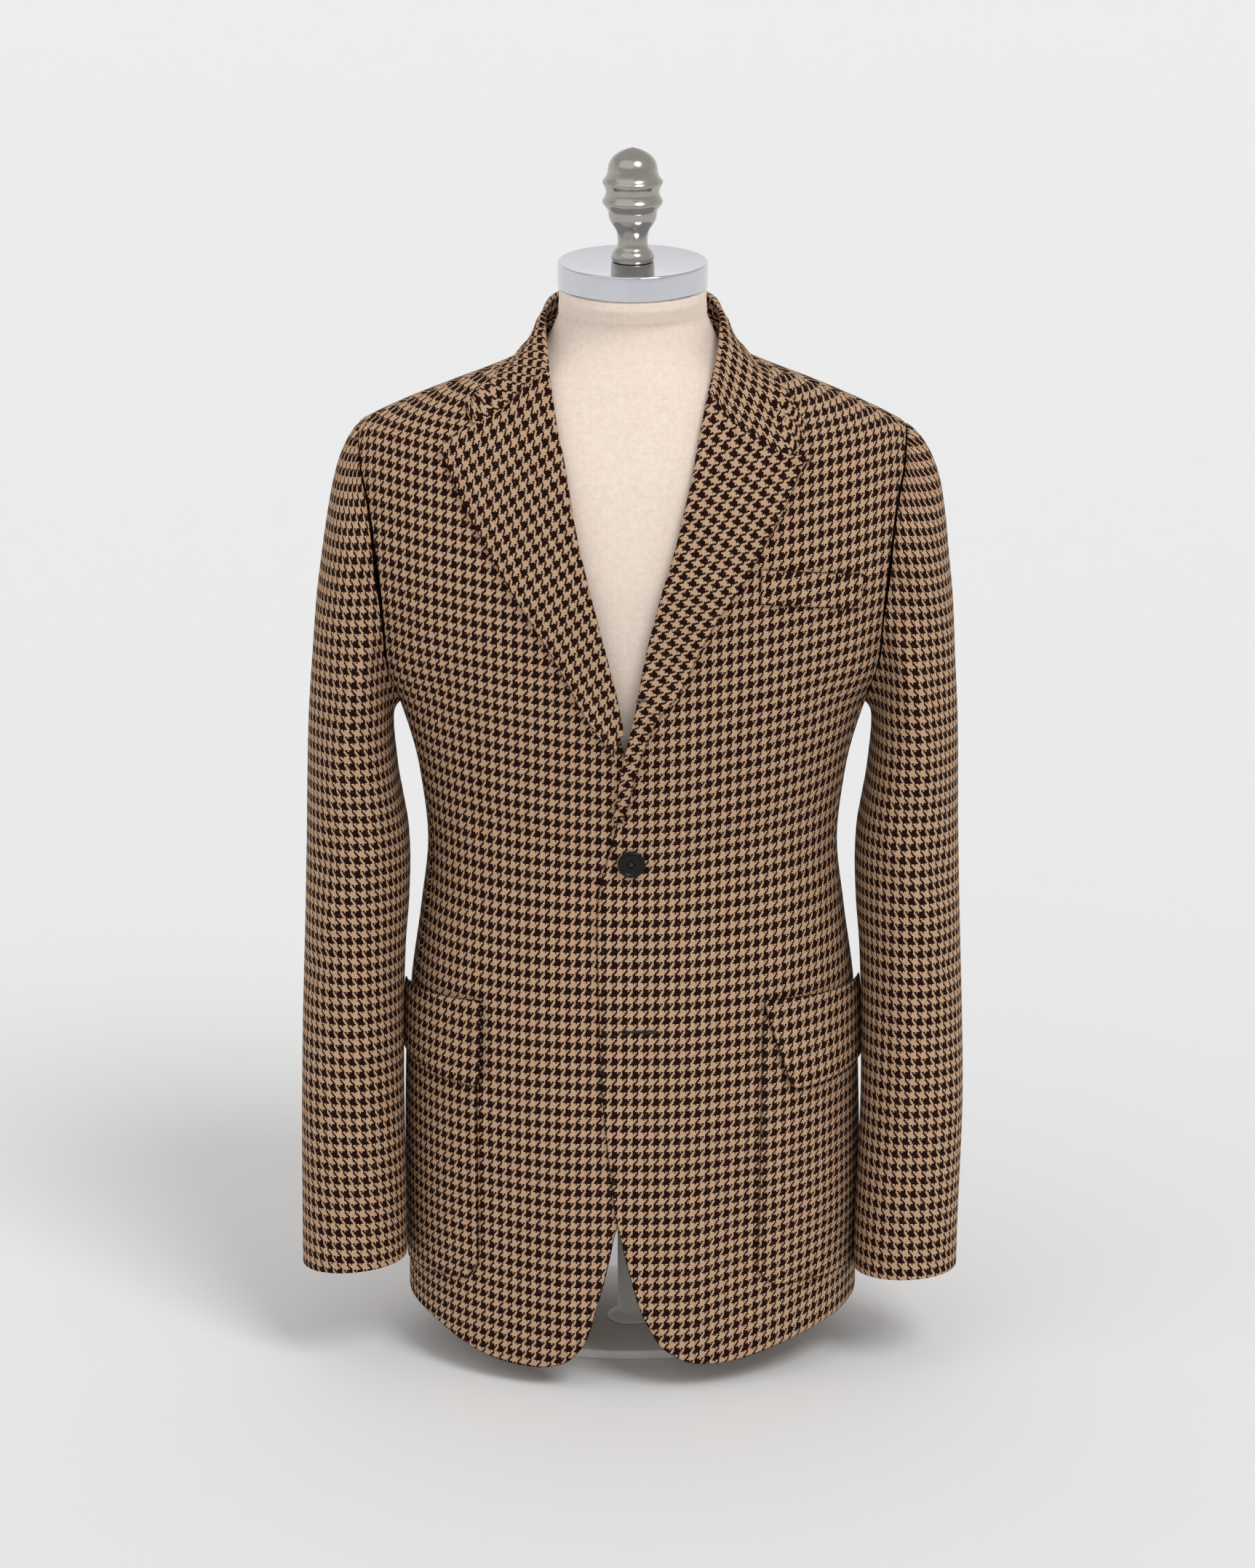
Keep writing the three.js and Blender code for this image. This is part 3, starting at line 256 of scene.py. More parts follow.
slopeStart = 600
outSteps, riseSteps = np.linspace(0, 225, 46), np.arange(slopeStart, 861, 4.0)
riseTables = []
for onBack in (False, True):
    depth = bodyPoints(outSteps[None, :], riseSteps[:, None], onBack)[..., 1]
    lean = np.clip(np.abs(np.diff(depth, axis=0) / 4), 0, 1.1)
    riseTables.append(np.concatenate([np.zeros((1, len(outSteps))), np.cumsum(np.sqrt(1 + lean**2) * 4, axis=0)]))

weaveRun = {"chestTilt": 0.1, "chestFrom": (330, 560), "hemTilt": {1: 0.2, -1: 0.07}, "backArc": 540,
    "lapShift": 4.2}


def bodyWeave(x, z, side, onBack=False):
    # rows lie level and follow the slope of the shoulders, and the columns stand upright at the centre
    turn = turnAt(x, z)
    turn = 2 - turn if onBack else turn
    arc = tableAt(arcTable, turnSteps, heightSteps, turn, z) * np.sign(x)
    if onBack:
        whole = tableAt(arcTable, turnSteps, heightSteps, np.full_like(z, 2.0), z)
        arc = weaveRun["backArc"] - (whole - arc)
    up = np.where(z < slopeStart, z, slopeStart + tableAt(riseTables[onBack], outSteps, riseSteps, np.abs(x), z))
    if not onBack:
        up = up - weaveRun["chestTilt"] * np.abs(x) * smoothStep(*weaveRun["chestFrom"], z)
        up = up - weaveRun["hemTilt"][side] * np.maximum(x - 50, 0) * (1 - smoothStep(40, 230, z))
    return np.stack([side * arc + (weaveRun["lapShift"] if side < 0 and not onBack else 0), up], -1)


# making a mesh of cloth
def edgeDistance(points, borders):
    # how far each point is from the sewn edge, and how far along that edge
    if not borders:
        return np.stack([np.full(len(points), 50.0), np.zeros(len(points))], -1)
    samples, along, run = [], [], 0.0
    for border in borders:
        lengths = np.concatenate([[0], np.cumsum(np.linalg.norm(np.diff(border, axis=0), axis=1))])
        at = np.arange(0, lengths[-1], 0.8)
        samples.append(np.stack([np.interp(at, lengths, border[:, k]) for k in range(3)], -1))
        along.append(at + run)
        run += lengths[-1]
    samples, along = np.concatenate(samples), np.concatenate(along)
    best, at = np.empty(len(points)), np.empty(len(points))
    for start in range(0, len(points), 2000):
        part = points[start : start + 2000]
        squares = ((part**2).sum(1)[:, None] + (samples**2).sum(1)[None, :] - 2 * part @ samples.T)
        nearest = squares.argmin(1)
        best[start : start + 2000] = np.sqrt(np.maximum(squares[np.arange(len(part)), nearest], 0))
        at[start : start + 2000] = along[nearest]
    return np.stack([np.minimum(best, 50), at], -1)


def gridArea(grid):
    a, b, c, d = grid[:-1, :-1], grid[:-1, 1:], grid[1:, 1:], grid[1:, :-1]
    return (np.linalg.norm(np.cross(b - a, c - a), axis=-1) + np.linalg.norm(np.cross(c - a, d - a), axis=-1)).sum() / 2


# mm: how far the rounded rim stands out, the lines added beside a border, and how far the border drops
borderForm = {"reach": 0.11, "lines": (0.45, 1.1, 2.1), "round": 2.1, "drop": 0.8, "seamDrop": 0.2, "lift": 0.3}


def withBorderLines(grid):
    # adds lines close to the first and last rows, and says how far each row is from its border
    count = len(borderForm["lines"])

    def beside(border, following):
        gap = np.linalg.norm(following[:, :3] - border[:, :3], axis=-1, keepdims=True)
        shares = [np.minimum(d / gap, (k + 1) / (count + 1)) for k, d in enumerate(borderForm["lines"])]
        return [border + (following - border) * share for share in shares], [(share * gap)[:, 0] for share in shares]

    low, lowFar = beside(grid[0], grid[1])
    high, highFar = beside(grid[-1], grid[-2])
    rows = np.stack([grid[0], *low, *grid[1:-1], *high[::-1], grid[-1]])
    far = np.full(rows.shape[:2], 9.0)
    far[0], far[-1] = 0, 0
    for k in range(count):
        far[1 + k], far[-2 - k] = lowFar[k], highFar[k]
    return rows, far


def addCloth(name, node, outer, normals, weave, side=1, shiftY=0.0, edges=(), drawn=(1, 1)):
    # a thin shell: outer face, inner face and a rounded rim; edges names the borders that are topstitched
    thickness, area = bodyForm["clothThickness"], gridArea(outer)
    packed, rowFar = withBorderLines(np.concatenate([outer, normals, weave], -1))
    turned, columnFar = withBorderLines(np.concatenate([packed, rowFar[..., None]], -1).transpose(1, 0, 2))
    packed, far = turned.transpose(1, 0, 2), columnFar.T
    far = np.minimum(far, packed[..., 8])
    outer, normals, weave = packed[..., :3], unit(packed[..., 3:6]), packed[..., 6:8]
    rowCount, columnCount = outer.shape[:2]
    borders = {"inside": outer[:, 0], "outside": outer[:, -1], "foot": outer[0], "head": outer[-1]}
    edgeData = edgeDistance(outer.reshape(-1, 3), [borders[e] for e in edges]).reshape(rowCount, columnCount, 2)
    fall = ((1 - np.minimum(far / borderForm["round"], 1)) ** 2)[..., None] * normals
    inner = outer - normals * thickness + fall * borderForm["lift"]
    outer = outer - fall * borderForm["drop" if edges else "seamDrop"]
    middle = (outer + inner) / 2
    middle[0] += unit(middle[0] - middle[1]) * borderForm["reach"]
    middle[-1] += unit(middle[-1] - middle[-2]) * borderForm["reach"]
    middle[:, 0] += unit(middle[:, 0] - middle[:, 1]) * borderForm["reach"]
    middle[:, -1] += unit(middle[:, -1] - middle[:, -2]) * borderForm["reach"]
    index = np.arange(rowCount * columnCount).reshape(rowCount, columnCount)
    border = np.concatenate([index[0, :-1], index[:-1, -1], index[-1, :0:-1], index[:0:-1, 0]])
    count = rowCount * columnCount
    rim = 2 * count + np.arange(len(border))
    vertices = np.concatenate([outer.reshape(-1, 3), inner.reshape(-1, 3), middle.reshape(-1, 3)[border]])
    quads = np.stack([index[:-1, :-1], index[:-1, 1:], index[1:, 1:], index[1:, :-1]], -1).reshape(-1, 4)
    following = np.roll(border, -1)
    rimNext = np.roll(rim, -1)
    faces = np.concatenate([
        quads, quads[:, ::-1] + count,
        np.stack([following, border, rim, rimNext], -1),
        np.stack([rimNext, rim, border + count, following + count], -1),
    ])
    if side < 0:
        faces = faces[:, ::-1]
    vertices = vertices * (side, 1, 1) + (0, shiftY, 0)
    flat = weave.reshape(-1, 2) * drawn
    threads = np.concatenate([flat, flat, flat[border]])
    sewn = np.concatenate([edgeData.reshape(-1, 2), np.full((count, 2), 50.0), edgeData.reshape(-1, 2)[border]])
    mesh = bpy.data.meshes.new(name)
    mesh.from_pydata((vertices * 0.001).tolist(), [], faces.tolist())
    corner = np.array(faces).ravel()
    for layerName, values in (("weave", threads), ("sewnEdge", sewn)):
        layer = mesh.uv_layers.new(name=layerName)
        layer.data.foreach_set("uv", (values[corner] / 100).astype(np.float32).ravel())
    mesh.polygons.foreach_set("use_smooth", np.ones(len(mesh.polygons), bool))
    mesh.update()
    piece = bpy.data.objects.new(name, mesh)
    bpy.context.scene.collection.objects.link(piece)
    turnOutwards(piece)
    mesh.materials.append(tweed)
    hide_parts(node)
    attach(piece, "root")
    return piece


def turnOutwards(piece):
    work = bmesh.new()
    work.from_mesh(piece.data)
    bmesh.ops.recalc_face_normals(work, faces=work.faces)
    work.to_mesh(piece.data)
    work.free()


# materials
def linear(hexColour):
    parts = [int(hexColour[k : k + 2], 16) / 255 for k in (1, 3, 5)]
    return [p / 12.92 if p <= 0.04045 else ((p + 0.055) / 1.055) ** 2.4 for p in parts] + [1.0]


def addNode(tree, kind, settings, inputs):
    node = tree.nodes.new(kind)
    for key, value in settings.items():
        setattr(node, key, value)
    for key, value in inputs.items():
        if isinstance(value, bpy.types.NodeSocket):
            tree.links.new(value, node.inputs[key])
        else:
            node.inputs[key].default_value = value
    return node


def newMaterial(name):
    material = bpy.data.materials.new(name)
    material.use_nodes = True
    tree = material.node_tree
    return material, tree, tree.nodes["Principled BSDF"]


# Woollen tweed in a four-and-four houndstooth check: matt, a little hairy, softly lit at its edges.
tweedLook = {
    "tan": "#cba281", "tanPale": "#ddbb9b", "brown": "#190b07", "brownPale": "#2e150e", "fleck": "#8d6c66",
    "threadAcross": 1.02, "threadUp": 1.365,  # mm, eight threads to a check each way
    "darkShare": 0.53,  # the dark yarn is a little thicker
    "hairWander": 0.45, "stitchInset": 6.0, "stitchLength": 3.2, "seamShade": 0.14,
    "edgeShade": 0.75, "edgeShadeWidth": 0.95,  # painted shade: a pressed edge is painted darker where it turns under, in place of its shadow
}


def makeTweed(look):
    material, tree, shader = newMaterial("woollenTweed")
    math_, vector, mix = "ShaderNodeMath", "ShaderNodeVectorMath", "ShaderNodeMix"
    place = addNode(tree, "ShaderNodeUVMap", {"uv_map": "weave"}, {})
    hair = addNode(tree, "ShaderNodeTexNoise", {"noise_dimensions": "2D"},
                   {"Vector": place.outputs[0], "Scale": 105.0, "Detail": 2.0, "Roughness": 0.6})
    centred = addNode(tree, vector, {"operation": "SUBTRACT"}, {0: hair.outputs["Color"], 1: (0.5, 0.5, 0.5)})
    shift = addNode(tree, vector, {"operation": "SCALE"}, {0: centred.outputs[0], "Scale": look["hairWander"] * 2})
    repeats = addNode(tree, vector, {"operation": "MULTIPLY_ADD"}, {
        0: place.outputs[0], 1: (12.5 / look["threadAcross"], 12.5 / look["threadUp"], 0), 2: (1000, 1000, 0)})
    whole = addNode(tree, vector, {"operation": "FLOOR"}, {0: repeats.outputs[0]})
    part = addNode(tree, vector, {"operation": "FRACTION"}, {0: repeats.outputs[0]})
    share, ranged = look["darkShare"], {"data_type": "FLOAT_VECTOR"}
    darkPart = addNode(tree, "ShaderNodeMapRange", ranged, {
        "Vector": part.outputs[0], 7: (0, 0, 0), 8: (share, share, 1), 9: (0, 0, 0), 10: (4, 4, 0)})
    palePart = addNode(tree, "ShaderNodeMapRange", ranged, {
        "Vector": part.outputs[0], 7: (share, share, 0), 8: (1, 1, 1), 9: (0, 0, 0), 10: (4, 4, 0)})
    bothParts = addNode(tree, vector, {"operation": "ADD"}, {0: darkPart.outputs[1], 1: palePart.outputs[1]})
    threads = addNode(tree, vector, {"operation": "MULTIPLY_ADD"},
                      {0: whole.outputs[0], 1: (8, 8, 0), 2: bothParts.outputs[0]})
    moved = addNode(tree, vector, {"operation": "ADD"}, {0: threads.outputs[0], 1: shift.outputs[0]})
    cell = addNode(tree, vector, {"operation": "FLOOR"}, {0: moved.outputs[0]})
    inCell = addNode(tree, vector, {"operation": "FRACTION"}, {0: moved.outputs[0]})
    cellParts = addNode(tree, "ShaderNodeSeparateXYZ", {}, {0: cell.outputs[0]})
    inParts = addNode(tree, "ShaderNodeSeparateXYZ", {}, {0: inCell.outputs[0]})
    checkAcross = addNode(tree, math_, {"operation": "MODULO"}, {0: cellParts.outputs[0], 1: 8.0})
    checkUp = addNode(tree, math_, {"operation": "MODULO"}, {0: cellParts.outputs[1], 1: 8.0})
    warpDark = addNode(tree, math_, {"operation": "LESS_THAN"}, {0: checkAcross.outputs[0], 1: 3.5})
    weftDark = addNode(tree, math_, {"operation": "LESS_THAN"}, {0: checkUp.outputs[0], 1: 3.5})
    # two-up two-down twill: the threads on top step up to the right, which draws the teeth
    step = addNode(tree, math_, {"operation": "SUBTRACT"}, {0: cellParts.outputs[0], 1: cellParts.outputs[1]})
    stepPlace = addNode(tree, math_, {"operation": "FLOORED_MODULO"}, {0: step.outputs[0], 1: 4.0})
    warpUp = addNode(tree, math_, {"operation": "LESS_THAN"}, {0: stepPlace.outputs[0], 1: 1.5})
    dark = addNode(tree, mix, {"data_type": "FLOAT"},
                   {0: warpUp.outputs[0], 2: weftDark.outputs[0], 3: warpDark.outputs[0]})
    threadNumber = addNode(tree, mix, {"data_type": "FLOAT"},
                           {0: warpUp.outputs[0], 2: cellParts.outputs[1], 3: cellParts.outputs[0]})
    threadTone = addNode(tree, "ShaderNodeTexWhiteNoise", {"noise_dimensions": "1D"}, {"W": threadNumber.outputs[0]})
    cellTone = addNode(tree, "ShaderNodeTexWhiteNoise", {"noise_dimensions": "2D"}, {"Vector": cell.outputs[0]})
    wool = addNode(tree, "ShaderNodeTexNoise", {"noise_dimensions": "2D"},
                   {"Vector": place.outputs[0], "Scale": 240.0, "Detail": 3.0, "Roughness": 0.7})
    tones = addNode(tree, math_, {"operation": "ADD"}, {0: threadTone.outputs[0], 1: cellTone.outputs[0]})
    toneMix = addNode(tree, math_, {"operation": "ADD"}, {0: tones.outputs[0], 1: wool.outputs[0]})
    tone = addNode(tree, math_, {"operation": "MULTIPLY", "use_clamp": True}, {0: toneMix.outputs[0], 1: 0.36})
    tan = addNode(tree, mix, {"data_type": "RGBA"},
                  {0: tone.outputs[0], 6: linear(look["tan"]), 7: linear(look["tanPale"])})
    brown = addNode(tree, mix, {"data_type": "RGBA"},
                    {0: tone.outputs[0], 6: linear(look["brown"]), 7: linear(look["brownPale"])})
    yarn = addNode(tree, mix, {"data_type": "RGBA"}, {0: dark.outputs[0], 6: tan.outputs[2], 7: brown.outputs[2]})
    fleckPlace = addNode(tree, math_, {"operation": "GREATER_THAN"}, {0: cellTone.outputs[0], 1: 0.965})
    fleckShare = addNode(tree, math_, {"operation": "MULTIPLY"}, {0: fleckPlace.outputs[0], 1: 0.16})
    flecked = addNode(tree, mix, {"data_type": "RGBA"},
                      {0: fleckShare.outputs[0], 6: yarn.outputs[2], 7: linear(look["fleck"])})
    # the valley between threads: its round profile sets the bump, and its painted shade darkens the colour towards each
    # thread's border
    across = addNode(tree, mix, {"data_type": "FLOAT"},
                     {0: warpUp.outputs[0], 2: inParts.outputs[1], 3: inParts.outputs[0]})
    offMiddle = addNode(tree, math_, {"operation": "SUBTRACT"}, {0: across.outputs[0], 1: 0.5})
    squared = addNode(tree, math_, {"operation": "MULTIPLY"}, {0: offMiddle.outputs[0], 1: offMiddle.outputs[0]})
    threadRound = addNode(tree, math_, {"operation": "MULTIPLY_ADD"}, {0: squared.outputs[0], 1: -4.0, 2: 1.0})
    # topstitching six millimetres in from a sewn edge, and the soft swell of the edge outside it
    sewn = addNode(tree, "ShaderNodeUVMap", {"uv_map": "sewnEdge"}, {})
    sewnParts = addNode(tree, "ShaderNodeSeparateXYZ", {}, {0: sewn.outputs[0]})
    inset = addNode(tree, math_, {"operation": "MULTIPLY_ADD"},
                    {0: sewnParts.outputs[0], 1: 100 / 0.75, 2: -look["stitchInset"] / 0.75})
    insetSquared = addNode(tree, math_, {"operation": "MULTIPLY"}, {0: inset.outputs[0], 1: inset.outputs[0]})
    insetFall = addNode(tree, math_, {"operation": "MULTIPLY"}, {0: insetSquared.outputs[0], 1: -1.0})
    groove = addNode(tree, math_, {"operation": "EXPONENT"}, {0: insetFall.outputs[0]})
    beat = addNode(tree, math_, {"operation": "MULTIPLY"},
                   {0: sewnParts.outputs[1], 1: 100 * 2 * math.pi / look["stitchLength"]})
    wave = addNode(tree, math_, {"operation": "SINE"}, {0: beat.outputs[0]})
    stitchShare = addNode(tree, math_, {"operation": "MULTIPLY_ADD"}, {0: wave.outputs[0], 1: 0.18, 2: 0.82})
    stitch = addNode(tree, math_, {"operation": "MULTIPLY"}, {0: groove.outputs[0], 1: stitchShare.outputs[0]})
    shade = addNode(tree, math_, {"operation": "MULTIPLY"}, {0: stitch.outputs[0], 1: look["seamShade"]})
    # painted shade: the valleys between threads and the groove of the topstitching are darkened in the colour
    paintedValleyShade = addNode(tree, math_, {"operation": "MULTIPLY_ADD"}, {0: squared.outputs[0], 1: 1.9, 2: shade.outputs[0]})
    # painted shade along every finished edge, standing in for the shadow where the pressed edge turns under
    edgeStep = addNode(tree, math_, {"operation": "MULTIPLY"}, {0: sewnParts.outputs[0], 1: 100 / look["edgeShadeWidth"]})
    edgeSquare = addNode(tree, math_, {"operation": "MULTIPLY"}, {0: edgeStep.outputs[0], 1: edgeStep.outputs[0]})
    edgeFall = addNode(tree, math_, {"operation": "MULTIPLY"}, {0: edgeSquare.outputs[0], 1: -1.0})
    paintedEdgeShade = addNode(tree, math_, {"operation": "EXPONENT"}, {0: edgeFall.outputs[0]})
    paintedShade = addNode(tree, math_, {"operation": "MULTIPLY_ADD", "use_clamp": True},
                        {0: paintedEdgeShade.outputs[0], 1: look["edgeShade"], 2: paintedValleyShade.outputs[0]})
    # all the painted shade mixes the yarn colour towards near black
    colour = addNode(tree, mix, {"data_type": "RGBA"},
                     {0: paintedShade.outputs[0], 6: flecked.outputs[2], 7: linear("#140b08")})
    weaveHeight = addNode(tree, math_, {"operation": "MULTIPLY_ADD"},
                          {0: threadRound.outputs[0], 1: 0.25, 2: wool.outputs[0]})
    height = addNode(tree, math_, {"operation": "MULTIPLY_ADD"}, {0: stitch.outputs[0], 1: -1.6, 2: weaveHeight.outputs[0]})
    bump = addNode(tree, "ShaderNodeBump", {}, {"Strength": 0.55, "Distance": 0.0005, "Height": height.outputs[0]})
    tree.links.new(colour.outputs[2], shader.inputs["Base Color"])
    tree.links.new(bump.outputs[0], shader.inputs["Normal"])
    for key, value in {"Roughness": 0.92, "IOR": 1.5, "Specular IOR Level": 0.06, "Sheen Weight": 0.02,
                       "Sheen Roughness": 0.45, "Sheen Tint": linear("#c9a98a")}.items():
        shader.inputs[key].default_value = value
    return material


# Natural linen, plain weave: cream, dry and matt, with uneven threads both ways.
linenLook = {"pale": "#fbecdf", "deep": "#e4cfbe", "thread": 0.9}  # mm, drawn twice as coarse as it is, to show


def makeLinen(look):
    material, tree, shader = newMaterial("naturalLinen")
    place = addNode(tree, "ShaderNodeTexCoord", {}, {})
    warp = addNode(tree, "ShaderNodeTexWave", {"bands_direction": "Z"}, {
        "Vector": place.outputs["Object"], "Scale": 314 / look["thread"] / 2, "Distortion": 1.4,
        "Detail": 2.0, "Detail Scale": 3.0})
    weft = addNode(tree, "ShaderNodeTexWave", {"bands_direction": "X"}, {
        "Vector": place.outputs["Object"], "Scale": 314 / look["thread"] / 2, "Distortion": 1.4,
        "Detail": 2.0, "Detail Scale": 3.0})
    weave = addNode(tree, "ShaderNodeMath", {"operation": "MULTIPLY"}, {0: warp.outputs["Fac"], 1: weft.outputs["Fac"]})
    slub = addNode(tree, "ShaderNodeTexNoise", {}, {"Vector": place.outputs["Object"], "Scale": 260.0, "Detail": 4.0})
    tone = addNode(tree, "ShaderNodeMath", {"operation": "MULTIPLY_ADD", "use_clamp": True},
                   {0: weave.outputs[0], 1: 0.5, 2: slub.outputs[0]})
    colour = addNode(tree, "ShaderNodeMix", {"data_type": "RGBA"},
                     {0: tone.outputs[0], 6: linear(look["deep"]), 7: linear(look["pale"])})
    bump = addNode(tree, "ShaderNodeBump", {}, {"Strength": 0.35, "Distance": 0.0003, "Height": weave.outputs[0]})
    tree.links.new(colour.outputs[2], shader.inputs["Base Color"])
    tree.links.new(bump.outputs[0], shader.inputs["Normal"])
    for key, value in {"Roughness": 0.85, "IOR": 1.5, "Specular IOR Level": 0.3, "Sheen Weight": 0.05}.items():
        shader.inputs[key].default_value = value
    return material


# Metals and small hard parts: base colour, roughness, how uneven the gloss is, and how fine its grain.
hardLooks = {
    # plated steel, polished: a clear mirror with faint haze
    "platedChrome": {"base": "#dadce2", "metallic": 1.0, "rough": (0.03, 0.08), "grain": 40.0, "bump": 0.0},
    # nickel plate dulled by handling: soft wide highlights, darker in the grooves
    "satinNickel": {"base": "#b4afa8", "metallic": 1.0, "rough": (0.13, 0.26), "grain": 90.0, "bump": 0.1},
    # polished horn: deep brown, with a soft shine
    "darkHorn": {"base": "#130e0c", "metallic": 0.0, "rough": (0.2, 0.4), "grain": 300.0, "bump": 0.12, "gleam": 0.22},
    # powder-coated steel: pale and even, with a very fine orange peel
    "powderCoat": {"base": "#ececea", "metallic": 0.0, "rough": (0.42, 0.52), "grain": 700.0, "bump": 0.08},
    # waxed buttonhole twist: near black, slightly glossy thread
    "buttonTwist": {"base": "#2b211d", "metallic": 0.0, "rough": (0.55, 0.7), "grain": 900.0, "bump": 0.3},
    # the same twist in grey, for the hole on the lapel's roll
    "palerTwist": {"base": "#6b665d", "metallic": 0.0, "rough": (0.55, 0.7), "grain": 900.0, "bump": 0.3},
}


def makeHard(name, look):
    material, tree, shader = newMaterial(name)
    place = addNode(tree, "ShaderNodeTexCoord", {}, {})
    grain = addNode(tree, "ShaderNodeTexNoise", {},
                    {"Vector": place.outputs["Object"], "Scale": look["grain"], "Detail": 4.0, "Roughness": 0.6})
    low, high = look["rough"]
    gloss = addNode(tree, "ShaderNodeMapRange", {}, {"Value": grain.outputs[0], "To Min": low, "To Max": high})
    base = linear(look["base"])
    darker = [c * 0.86 for c in base[:3]] + [1.0]
    colour = addNode(tree, "ShaderNodeMix", {"data_type": "RGBA"}, {0: grain.outputs[0], 6: darker, 7: base})
    tree.links.new(colour.outputs[2], shader.inputs["Base Color"])
    tree.links.new(gloss.outputs[0], shader.inputs["Roughness"])
    shader.inputs["Metallic"].default_value = look["metallic"]
    shader.inputs["Specular IOR Level"].default_value = look.get("gleam", 0.5)
    if look["bump"]:
        bump = addNode(tree, "ShaderNodeBump", {}, {"Strength": look["bump"], "Distance": 0.0002, "Height": grain.outputs[0]})
        tree.links.new(bump.outputs[0], shader.inputs["Normal"])
    return material


tweed = makeTweed(tweedLook)
linen = makeLinen(linenLook)
hard = {name: makeHard(name, look) for name, look in hardLooks.items()}
print("materials made")

# the two fronts
edgeRows = np.array([  # height, then how far out the left and the right front edge or roll line is
    (39, 22, 38), (55, 12.7, 32.6), (70, 6, 28.5), (86, 1.2, 24), (101, -2.8, 20.4), (117, -6.5, 17),
    (132, -10, 14), (146, -13.3, 8.5), (172, -16.3, -2), (215, -21, -12), (260, -24.5, -18), (300, -26, -20),
    (412, -26, -20), (440, -22.5, -15), (464, -16.8, -9.5), (493, -11.6, -4), (517, -8.2, 0.5), (532, -4.8, 4.6),
    (561, 1.9, 9.6), (585, 6, 15), (608, 10.3, 20.6), (635, 17, 27.5), (661, 24, 34), (690, 33, 41),
    (714, 39, 46), (736, 44.5, 49.6), (758, 49, 54), (777, 53, 58.5), (797, 57.7, 61.8), (811, 60.5, 64.4),
])
hemRows = np.array([  # how far out, then the height of the left and the right hem
    (22, 39, 50), (38, 27.5, 39), (52, 23.2, 24), (69, 21.4, 18), (92, 24, 17.5), (115, 29, 20.5),
    (135, 33.5, 26.5), (152, 37, 34), (168, 39.5, 39.5),
])
fronts = [
    {
        "name": "left", "side": 1, "column": 1, "lifted": True, "gorgeStart": 797, "rollFoot": 470, "straightBelow": 412,
        "gorge": [(73, 779), (94.6, 765), (119.4, 752.6)], "tip": (139, 751), "corner": (132.6, 768.5),
        "lapelEdge": [(-8.4, 470), (-2.3, 490), (3.5, 514), (9.5, 533), (19.4, 556), (36.2, 577), (50.5, 607),
                      (66, 635), (86, 663), (100.5, 687.5), (116.3, 714), (129.4, 741)],
        "pocket": {"frontTop": 102, "frontBottom": 98.7, "top": 304, "bottomFront": 83, "bottomRear": 73},
        "flap": {"frontTop": 101, "frontBottom": 121, "topFront": 319, "topRear": 309, "bottomFront": 244, "bottomRear": 245,
                 "lift": 3.4},
    },
    {
        "name": "right", "side": -1, "column": 2, "lifted": False, "gorgeStart": 811, "rollFoot": 541, "straightBelow": 470,
        "gorge": [(78.6, 801), (96.6, 785.6), (120.3, 772.8)], "tip": (148, 756.5), "corner": (128.9, 782.6),
        "lapelEdge": [(14.5, 524), (26.3, 540.7), (38.1, 559), (49.3, 582), (66.6, 613), (87.9, 647),
                      (106.4, 677.5), (125.2, 709), (141.2, 740)],
        "pocket": {"frontTop": 121, "frontBottom": 122, "top": 304, "bottomFront": 84, "bottomRear": 72},
        "flap": {"frontTop": 117.5, "frontBottom": 117.5, "topFront": 316, "topRear": 306, "bottomFront": 246, "bottomRear": 253,
                 "lift": 1.4},
    },
]
panelMesh = {"seamRows": 70, "armholeRows": 44, "frontColumns": 56, "backColumns": 56, "sideColumns": 22}


def armholePoints(degrees):
    angle = np.radians(degrees)
    return turnPoints(1 - armhole["reach"] * np.sin(angle), armhole["middle"] + armhole["halfHeight"] * np.cos(angle))


def armholeHeightAt(turn):
    reach = np.minimum(1, np.abs(1 - turn) / armhole["reach"])
    return armhole["middle"] - armhole["halfHeight"] * np.sqrt(1 - reach**2)


def seamHeight(turn, share):
    return bodyForm["sideHem"] + (armholeHeightAt(turn) - bodyForm["sideHem"]) * share


def outsideRows(turn):
    # the outer edge of a panel: up the side seam, then round the armhole to the shoulder point
    seam = turnPoints(turn, seamHeight(turn, np.arange(panelMesh["seamRows"]) / panelMesh["seamRows"]))
    corner = 180 - math.degrees(math.asin(abs(1 - turn) / armhole["reach"]))
    round_ = armholePoints(corner * np.linspace(1, 0, panelMesh["armholeRows"] + 1) ** 1.15)
    plan = np.concatenate([seam, round_])[:, [0, 2]]
    along = np.concatenate([[0], np.cumsum(np.linalg.norm(np.diff(plan, axis=0), axis=1))])
    return plan, along / along[-1]


def shoulderSeam():
    heights = [bodyForm["neckSideHeight"], 829, 826, 822, 818, 815, 811, 807, 800, 793, 785, 778, 770, 763, armhole["topZ"]]
    seam = planeCurve([(float(halfWidthAt(z)), z) for z in heights])
    return lambda share: seam(np.asarray(share) ** 1.25)


def panelColumns(count):
    sweep = math.radians(80)
    return np.sin(sweep * np.arange(count + 1) / count) / math.sin(sweep)


def patch(foot, head, inside, outside, s, t):
    s, t = s[None, :, None], t[:, None, None]
    across = foot[None] * (1 - t) + head[None] * t
    up = inside[:, None] * (1 - s) + outside[:, None] * s
    corners = (foot[0] * (1 - s) + foot[-1] * s) * (1 - t) + (head[0] * (1 - s) + head[-1] * s) * t
    return across + up - corners


